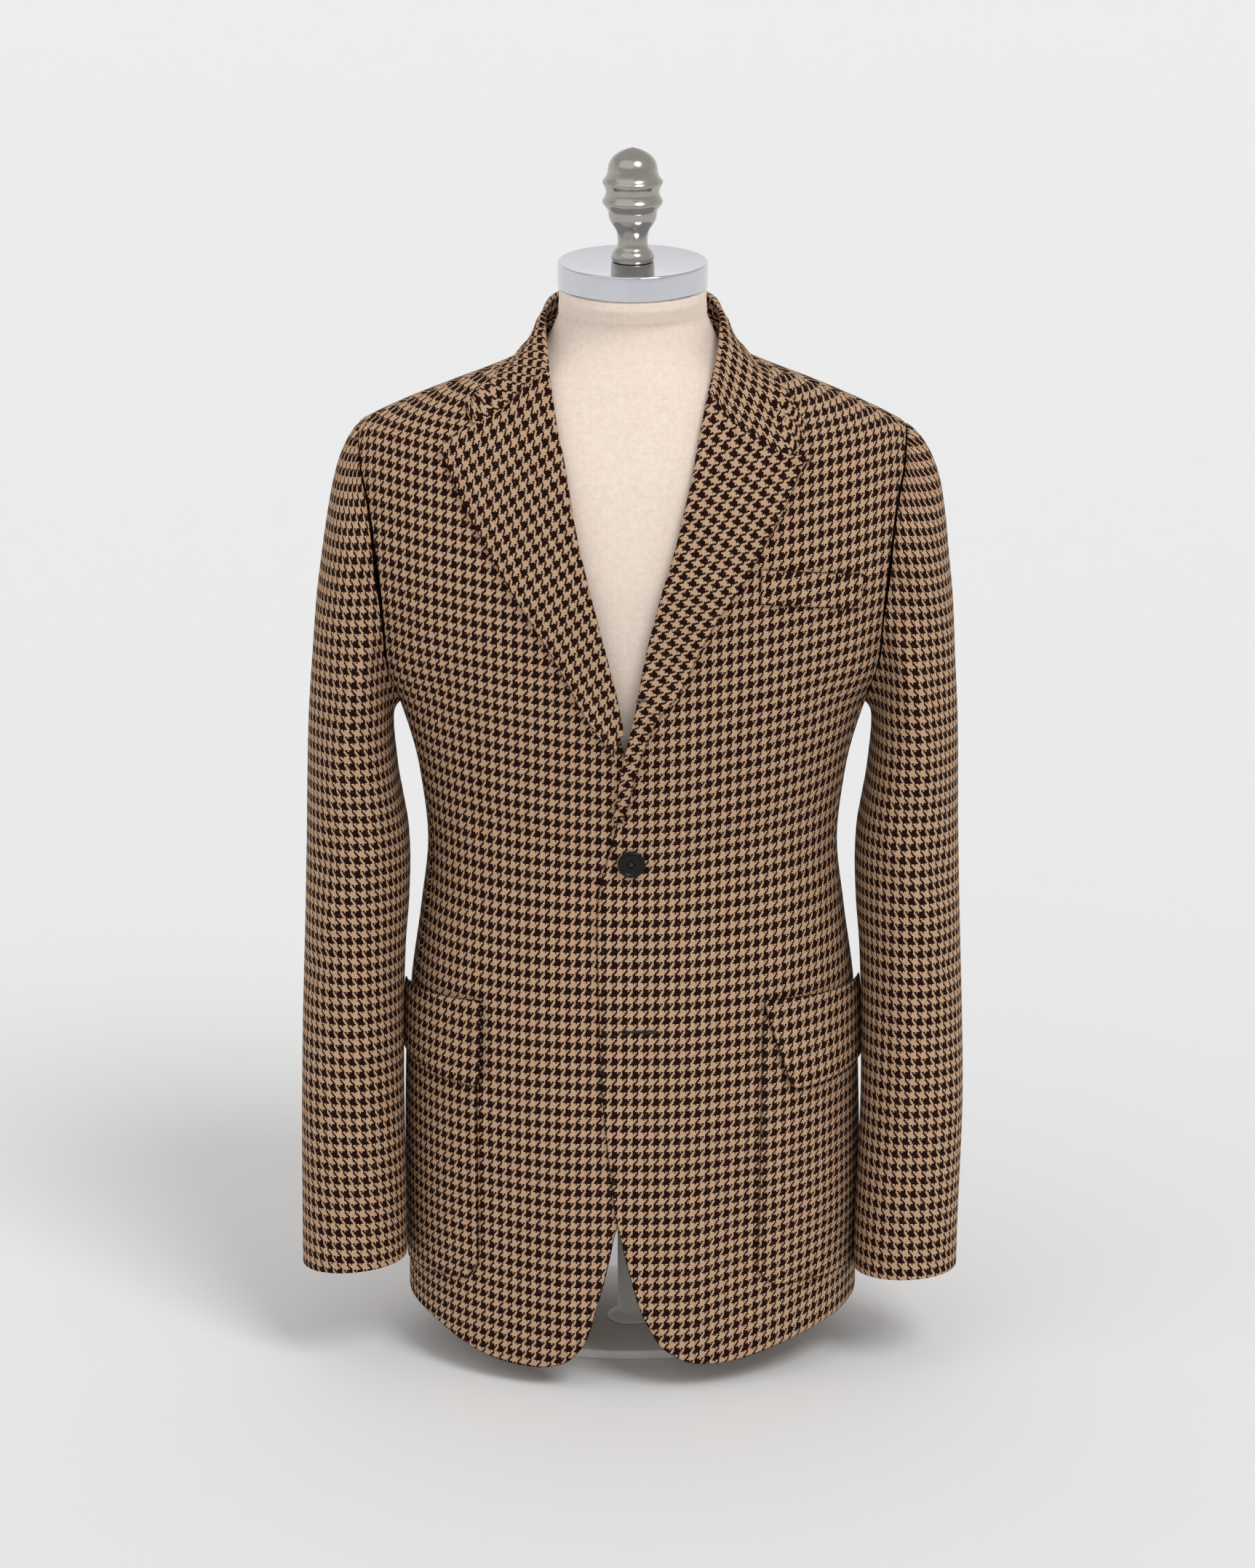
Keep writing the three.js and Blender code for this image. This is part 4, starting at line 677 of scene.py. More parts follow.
def frontOutline(front):
    inset = bodyForm["rollRadius"] + bodyForm["rollClearance"]
    rows = edgeRows[edgeRows[:, 0] <= front["gorgeStart"]]
    line = [
        (row[front["column"]] + inset * float(smoothStep(front["straightBelow"], front["rollFoot"] - 25, row[0])), row[0])
        for row in rows
    ]
    line += [p for p in [(67, 812), (68.5, 822), (71, 828.5)] if p[1] > front["gorgeStart"] + 5]
    return line + [(float(halfWidthAt(bodyForm["neckSideHeight"])), bodyForm["neckSideHeight"])]


def addPanel(name, node, plan, side, onBack=False, lifted=False, shiftY=0.0, edges=(), turns=None):
    x, z = plan[..., 0], plan[..., 1]
    base = turnPoints(turns, z) if turns is not None else bodyPoints(x, z, onBack)
    normals = bodyNormals(base)
    if turns is None:
        height = foldHeight(x, z, bodyFolds, side, onBack)
        weave = bodyWeave(x, z, side, onBack)
    else:
        height = 0.0
        arc = tableAt(arcTable, turnSteps, heightSteps, turns, z)
        seam = tableAt(arcTable, turnSteps, heightSteps, turns[:, :1] + 0 * turns, z)
        weave = np.stack([side * (arc - seam + 250), z + 0 * arc], -1)
    if lifted:
        height = height + liftAt(x, z)
    height = height * np.ones(x.shape)
    return addCloth(name, node, base + normals * height[..., None], normals, weave, side, shiftY, edges)


def makeFront(front):
    rows, shares = outsideRows(bodyForm["frontSeam"] - bodyForm["seamTurnGap"])
    outline = frontOutline(front)
    hem = [(r[0], r[front["column"]]) for r in hemRows if r[0] > outline[0][0] + 8]
    columns = panelColumns(panelMesh["frontColumns"])
    foot = planeCurve([outline[0], *hem, (rows[0][0], bodyForm["sideHem"])])(columns)
    plan = patch(foot, shoulderSeam()(columns), planeCurve(outline)(shares), rows, columns, shares)
    addPanel(f"frontPanel_{front['name']}", f"front_{front['name']}", plan, front["side"],
             lifted=front["lifted"], shiftY=-bodyForm["seamGap"] / 2, edges=("inside", "foot"))


def makeBack(name, side):
    rows, shares = outsideRows(bodyForm["backSeam"] + bodyForm["seamTurnGap"])
    centre, hem = bodyForm["seamGap"] / 2, bodyForm["backHem"]
    columns = panelColumns(panelMesh["backColumns"])
    neckShare = panelColumns(12)[3]
    neckline = planeCurve([(centre, bodyForm["neckBackHeight"]), (28, 837.6), (50, 836.4), (64, 835.2),
                           (float(halfWidthAt(bodyForm["neckSideHeight"])), bodyForm["neckSideHeight"])])
    seam = shoulderSeam()
    head = np.where((columns <= neckShare)[:, None], neckline(np.minimum(columns / neckShare, 1)),
                    seam(np.clip((columns - neckShare) / (1 - neckShare), 0, 1)))
    foot = planeCurve([(centre, hem), (60, hem), (120, hem + 1), (rows[0][0], bodyForm["sideHem"])])(columns)
    inside = planeCurve([(centre, z) for z in (hem, 300, 600, bodyForm["neckBackHeight"])])(shares)
    plan = patch(foot, head, inside, rows, columns, shares)
    plan[..., 0] = np.maximum(plan[..., 0], centre)
    addPanel(f"backPanel_{name}", f"back_{name}", plan, side, onBack=True, shiftY=bodyForm["seamGap"] / 2)


def makeSide(name, side):
    gap = bodyForm["seamTurnGap"]
    turns = np.linspace(bodyForm["frontSeam"] + gap, bodyForm["backSeam"] - gap, panelMesh["sideColumns"] + 1)[None, :]
    shares = np.linspace(0, 1, panelMesh["seamRows"] + 1)[:, None]
    heights = seamHeight(turns, shares)
    turns = turns + 0 * heights
    points = turnPoints(turns, heights)
    addPanel(f"sidePanel_{name}", f"side_{name}", points[..., [0, 2]], side, turns=turns)


for front in fronts:
    makeFront(front)
for sideName, side in (("left", 1), ("right", -1)):
    makeSide(sideName, side)
    makeBack(sideName, side)
print("body panels made")

# lapels: a round nose at the roll line, then flat on the front out to the edge
lapelForm = {"notchShare": 0.72, "cornerShare": 0.5, "gorgeGap": 0.25, "rows": 96, "columnLean": 29, "rowLean": 37,
    "edgeLift": 2.2,
    "drawn": (0.95, 1.16)}  # the pressed cloth is stretched across and shrunk along by this much


def offsetPoints(x, z, height, front):
    base = bodyPoints(x, z)
    rise = height + foldHeight(x, z, bodyFolds, front["side"]) + (liftAt(x, z) if front["lifted"] else 0)
    return base + bodyNormals(base) * np.asarray(rise)[..., None]


def rollLine(front):
    rows = edgeRows[(edgeRows[:, 0] > front["rollFoot"] + 3) & (edgeRows[:, 0] < front["gorgeStart"] - 3)]
    outAt = monotoneCurve(edgeRows[:, 0], edgeRows[:, front["column"]])
    heights = [front["rollFoot"], *rows[:, 0], front["gorgeStart"]]
    return planeCurve([(float(outAt(z)), z) for z in heights])


def gorgeLine(front):
    start = rollLine(front)(1.0)
    seam = planeCurve([start, *front["gorge"]])
    notch, tip, share0 = seam(1.0), np.array(front["tip"]), lapelForm["notchShare"]

    def pointAt(share):
        share = np.asarray(share, float)[..., None]
        return np.where(share <= share0, seam(np.minimum(share[..., 0] / share0, 1)),
                        notch + (tip - notch) * (share - share0) / (1 - share0))

    return pointAt


def rollFrames(front, shares):
    roll = rollLine(front)
    here = roll(shares)
    base = offsetPoints(here[:, 0], here[:, 1], 0.0, front)
    ahead, behind = roll(np.minimum(shares + 0.01, 1)), roll(np.maximum(shares - 0.01, 0))
    along = unit(offsetPoints(ahead[:, 0], ahead[:, 1], 0.0, front) - offsetPoints(behind[:, 0], behind[:, 1], 0.0, front))
    normals = bodyNormals(base)
    across = np.cross(normals, along)
    across *= np.where(across[:, :1] < 0, -1, 1)
    centre = base + across * bodyForm["rollRadius"] + normals * (bodyForm["rollRadius"] - bodyForm["wallInCad"])
    return here, normals, across, centre


def nosePoints(frames, degrees):
    here, normals, across, centre = frames
    angle = np.radians(degrees)[None, :, None]
    return centre[:, None] + bodyForm["rollRadius"] * (
        -across[:, None] * np.cos(angle) + normals[:, None] * np.sin(angle)
    )


def lapelHeight(share):
    rollHeight = 2 * bodyForm["rollRadius"] - bodyForm["wallInCad"]
    flatHeight = bodyForm["layerGap"] + bodyForm["wallInCad"]
    lift = lapelForm["edgeLift"] * smoothStep(0.5, 1, share)
    return flatHeight + (rollHeight - flatHeight) * (1 - share) ** 2 + lift


def lapelFlat(front, frames, plan, shares):
    here, normals, across, centre = frames
    x = plan[..., 0] + (centre[:, :1] - here[:, :1]) * (1 - shares)
    return offsetPoints(x, plan[..., 1], lapelHeight(shares) + 0 * x, front)


def leanedWeave(x, z, side):
    # the lapel's threads run along its outer edge
    turn = turnAt(x, z)
    out = tableAt(arcTable, turnSteps, heightSteps, turn, z) * np.sign(x)
    column, row = math.radians(lapelForm["columnLean"]), math.radians(lapelForm["rowLean"])
    across = out * math.cos(column) - z * math.sin(column)
    return np.stack([side * across, z * math.cos(row) + out * math.sin(row)], -1)


def orient(normals, points):
    facing = (normals * bodyNormals(points)).sum(-1)
    middle = facing[:, facing.shape[1] * 2 // 3 :].mean()
    return normals if middle > 0 else -normals


def makeLapel(front):
    shares = np.linspace(0, 1, lapelForm["rows"] + 1)
    frames = rollFrames(front, shares)
    nose = nosePoints(frames, np.linspace(-90, 90, 15))
    across = np.concatenate([np.linspace(0, lapelForm["notchShare"], 20)[1:], np.linspace(lapelForm["notchShare"], 1, 12)[1:]])
    roll, edge = rollLine(front), planeCurve([*front["lapelEdge"], front["tip"]])
    foot = planeCurve([roll(0.0), front["lapelEdge"][0]])
    full = np.concatenate([[0], across])
    plan = patch(foot(full), gorgeLine(front)(full), roll(shares), edge(shares), full, shares)[:, 1:]
    flats = lapelFlat(front, frames, plan, across[None, :])
    outer = np.concatenate([nose, flats], 1)
    outer[-1, :, 2] -= lapelForm["gorgeGap"]
    normals = orient(gridNormals(outer), outer)
    weave = leanedWeave(outer[..., 0], outer[..., 2], front["side"])
    start = leanedWeave(flats[:, :1, 0], flats[:, :1, 2], front["side"])
    noseArc = np.linspace(-math.pi * bodyForm["rollRadius"], 0, 15) - np.linalg.norm(flats[:, :1] - nose[:, -1:], axis=-1)
    weave[:, :15] = start + np.stack([front["side"] * noseArc, 0 * noseArc], -1)
    addCloth(f"lapelTurned_{front['name']}", f"lapel_{front['name']}", outer, normals, weave, front["side"],
             edges=("outside", "head"), drawn=lapelForm["drawn"])


for front in fronts:
    makeLapel(front)
print("lapels made")

# collar: stand, round crease and fall, from one gorge round the neck to the other
collarForm = {
    # on the back?, foot of the stand out and up, crease x y z, edge of the fall out and up
    "rows": [
        (False, 68, 822, (64.5, -36, 825), 118, 793), (False, 71, 828.5, (66, -20, 836), 102, 805),
        (False, 74, 833, (66.5, -4, 843.5), 88.3, 814.1), (True, 72.5, 833.8, (65.5, 14, 849), 82, 815.5),
        (True, 64, 835.3, (59.5, 34, 853), 75, 815.5), (True, 48, 836.6, (46.5, 51.5, 856.5), 58, 817.5),
        (True, 27, 837.6, (26, 62.5, 858.8), 32, 820), (True, 0, 838, (0, 66, 859.5), 0, 822),
    ],
    "footGap": 0.7, "layerGap": 2.1,
    "creaseAngles": (180, 135, 90, 50, 15), "fallShares": (0.25, 0.5, 0.76, 1),
    "noseAngles": (-90, -60, -20, 20, 60, 90), "lapelShares": (0.22, 0.45, 0.72),
    "rowSteps": 9, "columnSteps": 5, "drawn": (1.05, 1.12),
}


def collarSection(foot, crease, fallEnd):
    radius = bodyForm["rollRadius"]
    up = unit(crease - foot)
    outwards = (fallEnd - foot) * (1, 1, 0)
    outwards = unit(outwards - up * (outwards @ up))
    centre = crease - up * radius + outwards * radius
    ring = [
        centre + outwards * radius * math.cos(math.radians(a)) + up * radius * math.sin(math.radians(a))
        for a in collarForm["creaseAngles"]
    ]
    start = ring[-1]
    fall = [
        keepOff(start + (fallEnd - start) * share, bodyForm["layerGap"] + bodyForm["wallInCad"])
        for share in collarForm["fallShares"]
    ]
    return np.array([foot, *ring, *fall])


def collarFrontEnd(front):
    frames = rollFrames(front, np.array([1.0]))
    nose = nosePoints(frames, np.array(collarForm["noseAngles"], float))[0]
    shares = np.array([*collarForm["lapelShares"], lapelForm["cornerShare"]])
    plan = np.concatenate([gorgeLine(front)(shares[:-1]), [front["corner"]]])[None]
    flats = lapelFlat(front, frames, plan, shares[None, :])[0]
    end = np.concatenate([nose, flats])
    end[:, 2] += lapelForm["gorgeGap"]
    return end


def makeCollar():
    halves = []
    for front in fronts:
        rows = [collarFrontEnd(front)]
        for onBack, footOut, footZ, crease, fallOut, fallZ in collarForm["rows"]:
            rows.append(collarSection(
                bodyPoints(footOut, footZ + collarForm["footGap"], onBack), np.array(crease, float),
                bodyPoints(fallOut, fallZ, onBack),
            ))
        halves.append(np.array(rows) * (front["side"], 1, 1))
    stations = np.concatenate([halves[0], halves[1][:-1][::-1]])
    outer = refineGrid(stations, collarForm["rowSteps"], collarForm["columnSteps"])
    fallStart = len(collarForm["creaseAngles"]) * collarForm["columnSteps"] + 3
    inner = outer[6:-6, fallStart:]
    outer[6:-6, fallStart:] = keepOff(inner, collarForm["layerGap"] + bodyForm["wallInCad"])
    normals = orient(gridNormals(outer), outer)
    length = np.concatenate([[0], np.cumsum(np.linalg.norm(np.diff(outer[:, 30], axis=0), axis=1))])
    width = np.concatenate([np.zeros((len(outer), 1)), np.cumsum(np.linalg.norm(np.diff(outer, axis=1), axis=-1), axis=1)], 1)
    weave = np.stack([length[:, None] + 0 * width, 300 - width], -1)
    addCloth("collarTurned", "collar", outer, normals, weave, edges=("outside",), drawn=collarForm["drawn"])


makeCollar()
print("collar made")

# sleeves, top and under piece
sleeveForm = {
    # outermost x z, innermost x z, middle y, half depth, share of plain oval, extra fullness of the left one
    "rings": [
        (214.15, 759, 184.15, 534, -2, 60, 0, 0), (216.5, 757, 187, 530.5, -2.5, 62, 0.25, 1),
        (222.5, 748.5, 189, 525, -2.5, 64, 0.5, 3.5), (229.6, 733, 189.5, 518, -3, 67, 0.75, 5.5),
        (235, 714, 189.3, 509, -3, 69, 1, 6.5), (240, 687, 188.5, 498, -3.5, 71, 1, 5.8),
        (245, 653, 187, 484, -4, 72, 1, 4.2), (249.5, 617, 185, 468, -5, 72.5, 1, 3.2),
        (252.5, 576, 181.5, 449, -6.5, 72.5, 1, 2), (255.5, 530, 178, 428, -9, 71.5, 1, 1),
        (257.5, 480, 177, 404, -12, 69.5, 1, 0.4), (259, 426, 178, 374, -16.5, 67, 1, 0),
        (260.5, 367, 181, 335, -23, 64, 1, 0), (262.5, 306, 182.5, 286, -31, 61, 1, 0),
        (264, 246, 182.8, 235, -39, 58, 1, 0), (264.8, 187, 182.2, 182, -46, 55.5, 1, 0),
        (265, 130, 181.5, 130, -51.5, 53, 1, 0), (265, 79, 181.5, 86, -56, 51, 1, 0),
    ],
    "swell": 1.5, "seamDegrees": 122, "gapDegrees": 0.15, "ringSteps": 8,
    # the forearm's rings lean with the arm, and the left cuff is turned a little inwards
    "lean": 0.1, "leanFrom": 600, "leanFull": 400,
    "leftCuff": {"from": 240, "to": 79, "outX": -4.5, "inX": -3.4, "outZ": -1, "inZ": -11.5},
    "weaveLean": 0.094, "weaveDrop": 19.5,
    # degrees and height where a fold starts and ends, depth and width in mm
    "folds": [
        ((100, 700), (60, 560), -1.6, 13), ((118, 640), (70, 500), 1.6, 14), ((96, 470), (40, 400), -1.5, 12),
        ((110, 430), (52, 350), 1.4, 12), ((84, 360), (20, 320), -1.1, 11), ((40, 640), (10, 480), 0.9, 18),
        ((76, 250), (96, 120), -1.0, 13), ((30, 260), (50, 110), 0.8, 15),
        ((-96, 690), (-60, 540), -1.6, 14), ((-104, 520), (-50, 430), 1.5, 13), ((-92, 420), (-30, 350), -1.4, 12),
        ((-60, 300), (-84, 140), 1.0, 15), ((150, 470), (170, 300), -1.0, 14),
    ],
}
sleeveTable = np.array(sleeveForm["rings"], float)
ringCurves = [monotoneCurve(np.arange(len(sleeveTable)), sleeveTable[:, k]) for k in range(8)]


def sleevePoints(ring, degrees, side):
    ring, degrees = np.broadcast_arrays(np.asarray(ring, float), np.asarray(degrees, float))
    outX, outZ, inX, inZ, middle, halfDepth, oval, leftFull = (curve(ring) for curve in ringCurves)
    lean = sleeveForm["lean"] * smoothStep(sleeveForm["leanFrom"], sleeveForm["leanFull"], outZ)
    if side > 0:
        cuff = sleeveForm["leftCuff"]
        swing = smoothStep(cuff["from"], cuff["to"], outZ)
        outX, inX = outX + leftFull + cuff["outX"] * swing, inX + cuff["inX"] * swing
        outZ, inZ = outZ + cuff["outZ"] * swing, inZ + cuff["inZ"] * swing
    angle = np.radians(degrees)
    outSide, inSide = np.stack([outX, middle, outZ], -1), np.stack([inX, middle, inZ], -1)
    centre = (outSide + inSide) / 2
    plain = centre + (outSide - centre) * np.cos(angle)[..., None]
    plain[..., 1] -= halfDepth * np.sin(angle)
    plain[..., 2] += (middle - plain[..., 1]) * lean
    hole = armholePoints(degrees)
    share = (hole[..., 2] - armhole["footZ"]) / (armhole["topZ"] - armhole["footZ"])
    swell = 4 * share * (1 - share) * sleeveForm["swell"]
    mixIn = lambda low, high: low + (high - low) * share
    carried = np.stack([
        hole[..., 0] + mixIn(inX - armhole["footX"], outX - armhole["topX"]) + swell,
        hole[..., 1] * halfDepth / armhole["halfDepth"],
        hole[..., 2] + mixIn(inZ - armhole["footZ"], outZ - armhole["topZ"]),
    ], -1)
    return carried + (plain - carried) * oval[..., None]


def sleeveFoldHeight(degrees, points, side):
    height = np.zeros(points.shape[:2])
    wrapped = np.where(degrees > 180, degrees - 360, degrees)
    for number, ((a0, z0), (a1, z1), depth, width) in enumerate(sleeveForm["folds"]):
        scale = 1.1  # mm of cloth to a degree
        x, x0, x1 = wrapped * scale, a0 * scale, a1 * scale
        z = points[..., 2] + 4 * side * math.sin(number)
        length = math.hypot(x1 - x0, z1 - z0)
        along = ((x - x0) * (x1 - x0) + (z - z0) * (z1 - z0)) / length**2
        off = ((x - x0) * (z1 - z0) - (z - z0) * (x1 - x0)) / length
        off = off + 3 * np.sin(4 * along + number + side)
        ends = smoothStep(-0.3, 0.3, along) * (1 - smoothStep(0.7, 1.3, along))
        height += depth * ends * (1 + 0.3 * np.sin(6 * along + number)) * np.exp(-((off / width) ** 2))
    quiet = smoothStep(0, 90, armhole["topZ"] - points[..., 2]) * smoothStep(0, 22, np.abs(points[..., 0]) - 186)
    return height * quiet * foldScale["sleeve"]


def sleeveWeave(points, side, under):
    # rows lie square to the arm, and the columns are counted round it from its outermost line
    table, z = sleeveTable, points[..., 2]
    outX, halfDepth, middle = (np.interp(z, table[::-1, 1], table[::-1, k]) for k in (0, 5, 4))
    inX = np.interp(z, table[::-1, 3], table[::-1, 2])
    halfWidth = (outX - inX) / 2
    angle = np.arctan2((middle - points[..., 1]) / halfDepth, (points[..., 0] - outX + halfWidth) / halfWidth)
    angle = np.where(angle < 0, angle + 2 * math.pi, angle) if under else angle
    parts = (np.arange(40) + 0.5) / 40 * angle[..., None]
    steps = np.hypot(halfWidth[..., None] * np.sin(parts), halfDepth[..., None] * np.cos(parts))
    lean = sleeveForm["weaveLean"]
    along = z * math.sqrt(1 - lean**2) + points[..., 1] * lean - sleeveForm["weaveDrop"]
    return np.stack([side * steps.mean(-1) * angle, along], -1)


def makeSleevePiece(name, node, side, start, end, columns):
    count = len(sleeveTable) - 1
    rings = np.linspace(0, count, count * sleeveForm["ringSteps"] + 1)[:, None]
    degrees = np.linspace(start, end, columns + 1)[None, :]
    base = sleevePoints(rings, degrees, side)
    centre = sleevePoints(rings, 0.0, side) / 2 + sleevePoints(rings, 180.0, side) / 2
    normals = gridNormals(base)
    if (normals * (base - centre)).sum(-1).mean() < 0:
        normals = -normals
    degreesHere = degrees + 0 * rings
    outer = base + normals * sleeveFoldHeight(degreesHere, base, side)[..., None]
    addCloth(name, node, outer, normals, sleeveWeave(base, side, start > 0), side)


for sideName, side in (("left", 1), ("right", -1)):
    seam, gap = sleeveForm["seamDegrees"], sleeveForm["gapDegrees"]
    makeSleevePiece(f"sleeveTop_{sideName}", f"sleeve_top_{sideName}", side, -seam + gap, seam - gap, 96)
    makeSleevePiece(f"sleeveUnder_{sideName}", f"sleeve_under_{sideName}", side, seam + gap, 360 - seam - gap, 44)
print("sleeves made")

# patch pockets, flaps and the breast welt, laid on the fronts
laidForm = {
    "pocketRear": 0.93, "flapRear": 0.94,
    "welt": {"frontOut": 98.5, "rearOut": 177, "bottomFront": 644, "bottomRear": 632, "height": 27.3},
}


def addLaid(name, node, side, frontOut, rear, bottom, top, layers, rows, columns, edges, shift=(0, 0), lift=0):
    s, t = np.linspace(0, 1, columns + 1)[None, :], np.linspace(0, 1, rows + 1)[:, None]
    z = bottom(s) + (top(s) - bottom(s)) * t
    turn = turnAt(frontOut(t) + 0 * z, z)
    turn = turn + (rear - turn) * s
    base = turnPoints(turn, z)
    normals = bodyNormals(base)
    height = layers * (bodyForm["layerGap"] + bodyForm["wallInCad"]) + foldHeight(base[..., 0], z, bodyFolds, side)
    height = height + lift * (1 - smoothStep(0, 0.8, t)) * (1 - 0.75 * smoothStep(0.1, 0.75, s))
    weave = bodyWeave(base[..., 0], z, side) + np.array(shift)
    return addCloth(name, node, base + normals * height[..., None], normals, weave, side, edges=edges)


def cornerRise(share, height, reach):
    return height * np.maximum(0, 1 - np.minimum(share, 1 - share) / reach) ** 2


def makeLaidPieces(front):
    p, f, name, side = front["pocket"], front["flap"], front["name"], front["side"]
    line = lambda a, b: lambda share: a + (b - a) * share
    addLaid(f"pocketPatch_{name}", f"pocket_{name}", side, line(p["frontBottom"], p["frontTop"]), laidForm["pocketRear"],
            lambda s: p["bottomFront"] + (p["bottomRear"] - p["bottomFront"]) * s + cornerRise(s, 14, 0.13),
            lambda s: p["top"] + 0 * s, 1, 80, 44, ("inside", "outside", "foot"), (2.2, 0.8))
    addLaid(f"pocketFlap_{name}", f"flap_{name}", side, line(f["frontBottom"], f["frontTop"]), laidForm["flapRear"],
            lambda s: f["bottomFront"] + (f["bottomRear"] - f["bottomFront"]) * s + cornerRise(s, 3.5, 0.06),
            lambda s: f["topFront"] + (f["topRear"] - f["topFront"]) * s, 2, 34, 44,
            ("inside", "outside", "foot", "head"), (-1.6, 2.6), f["lift"])


for front in fronts:
    makeLaidPieces(front)
welt = laidForm["welt"]
addLaid("breastWelt", "breast_welt", 1, lambda t: welt["frontOut"] + 0 * t,
        float(turnAt(welt["rearOut"], welt["bottomRear"] + welt["height"] / 2)),
        lambda s: welt["bottomFront"] + (welt["bottomRear"] - welt["bottomFront"]) * s,
        lambda s: welt["bottomFront"] + (welt["bottomRear"] - welt["bottomFront"]) * s + welt["height"],
        1, 14, 40, ("inside", "outside", "foot", "head"), (3.1, 4.4))
print("pockets, flaps and welt made")

# the dress form
formShape = {
    "insets": [
        (138, 14), (200, 14), (270, 13), (330, 11), (380, 9), (420, 8), (460, 8), (500, 8), (540, 8), (580, 7.5),
        (620, 7), (660, 6), (695, 5), (720, 4), (740, 3), (752, 2.8), (761, 2.8), (769, 2.8), (778, 2.8),
        (788, 2.8), (798, 2.9), (807, 3.2), (815, 5), (826, 8), (838, 9.5), (850, 9.5),
    ],
    "armPlateFoot": 177, "armPlateLean": 0.13, "slack": 3, "levelBelow": 500, "neckRadius": 57.5, "neckTop": 869,
}


def addRigid(name, node, vertices, faces, material, slot):
    mesh = bpy.data.meshes.new(name)
    mesh.from_pydata((np.asarray(vertices) * 0.001).tolist(), [], [list(map(int, f)) for f in faces])
    mesh.polygons.foreach_set("use_smooth", np.ones(len(mesh.polygons), bool))
    mesh.materials.append(material)
    piece = bpy.data.objects.new(name, mesh)
    bpy.context.scene.collection.objects.link(piece)
    turnOutwards(piece)
    if node:
        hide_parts(node)
    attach(piece, "root")
    return piece


def ringMesh(rings):
    rings = np.asarray(rings, float)
    count, around = rings.shape[:2]
    index = np.arange(count * around).reshape(count, around)
    following = np.roll(index, -1, axis=1)
    faces = np.stack([index[:-1], following[:-1], following[1:], index[1:]], -1).reshape(-1, 4).tolist()
    return rings.reshape(-1, 3), [*faces, index[0][::-1].tolist(), index[-1].tolist()]


def makeTorso():
    shape = formShape
    insetAt = monotoneCurve(*zip(*shape["insets"]))
    heights = np.linspace(138, 850, 150)[:, None]
    around = np.linspace(0, 4, 145)[:-1][None, :]
    side = np.where(around > 2, -1, 1)
    turn = np.where(around > 2, 4 - around, around) + 0 * heights
    points = turnPoints(turn, heights)
    normals = bodyNormals(points)
    level = normals * (1, 1, 0)
    normals = np.where((heights < shape["levelBelow"])[..., None], unit(level), normals)
    slack = shape["slack"] * smoothStep(0.1, 0.4, np.abs(1 - turn))
    points = points - normals * (insetAt(heights) + slack)[..., None]
    limit = shape["armPlateFoot"] + np.maximum(0, points[..., 2] - armhole["footZ"]) * shape["armPlateLean"]
    points[..., 0] = np.clip(points[..., 0], -limit, limit) * side
    angle = around[0] * math.pi / 2
    neck = [
        np.stack([shape["neckRadius"] * np.sin(angle), -shape["neckRadius"] * np.cos(angle), z + 0 * angle], -1)
        for z in (860, 863, 866, 868.2, shape["neckTop"])
    ]
    neck[-1] = neck[-1] * (0.99, 0.99, 1)
    base = points[0] * (0.985, 0.985, 1)
    vertices, faces = ringMesh(np.concatenate([[base], [points[0] + (0, 0, 1.5)], points[1:], neck]))
    piece = addRigid("torsoCover", "form_torso", vertices, faces, linen, "linen")


turnedForm = {
    "neckRing": {"foot": 869.3, "radius": 58.7, "height": 20, "bevel": 1.5},
    "finial": [
        (0, 16.2), (3.5, 16.7), (7.3, 15.3), (10.5, 12.6), (13.6, 11.7), (22.4, 12.4), (26.2, 14.1), (30, 16.7),
        (33.7, 18.3), (40, 19.4), (42.5, 21), (47, 23.6), (50.6, 22), (54.4, 20.8), (58.3, 21.8), (62.6, 23.6),
        (66.5, 21), (70.2, 19.7), (76.4, 18.7), (81.6, 15.8), (85.4, 11), (87.9, 5.7), (89.4, 0.15),
    ],
}


def turned(profile, segments, foot):
    angle = np.linspace(0, 2 * math.pi, segments + 1)[:-1]
    rings = [np.stack([r * np.sin(angle), -r * np.cos(angle), foot + h + 0 * angle], -1) for r, h in profile]
    return ringMesh(rings)


def makeMetalwork():
    ring = turnedForm["neckRing"]
    r, b, h = ring["radius"], ring["bevel"], ring["height"]
    corner = [(b * math.sin(a), b * (1 - math.cos(a))) for a in np.radians(np.arange(0, 91, 15))]
    lower = [(r - b + x, z) for x, z in corner]
    upper = [(x, h - z) for x, z in lower[::-1]]
    profile = [(0.2, 0), *lower, (r, h / 2), *upper, (r - 2.6, h - 0.2), (0.2, h)]
    addRigid("neckRing", "neck_cap", *turned(profile, 160, ring["foot"]), hard["platedChrome"], "chrome")
    line = throughPoints([(radius, up) for up, radius in turnedForm["finial"]], 6)
    profile = [(0.2, 0), *np.maximum(line, (0.15, 0))]
    addRigid("turnedFinial", "finial", *turned(profile, 120, ring["foot"] + h + 0.3), hard["satinNickel"], "nickel")


makeTorso()
makeMetalwork()
print("form, neck ring and finial made")

# stand
standForm = {"columnRadius": 12, "flange": 20, "rim": 3, "taper": 8, "plate": (140, 95, 8), "setBack": 20, "top": 137.7}


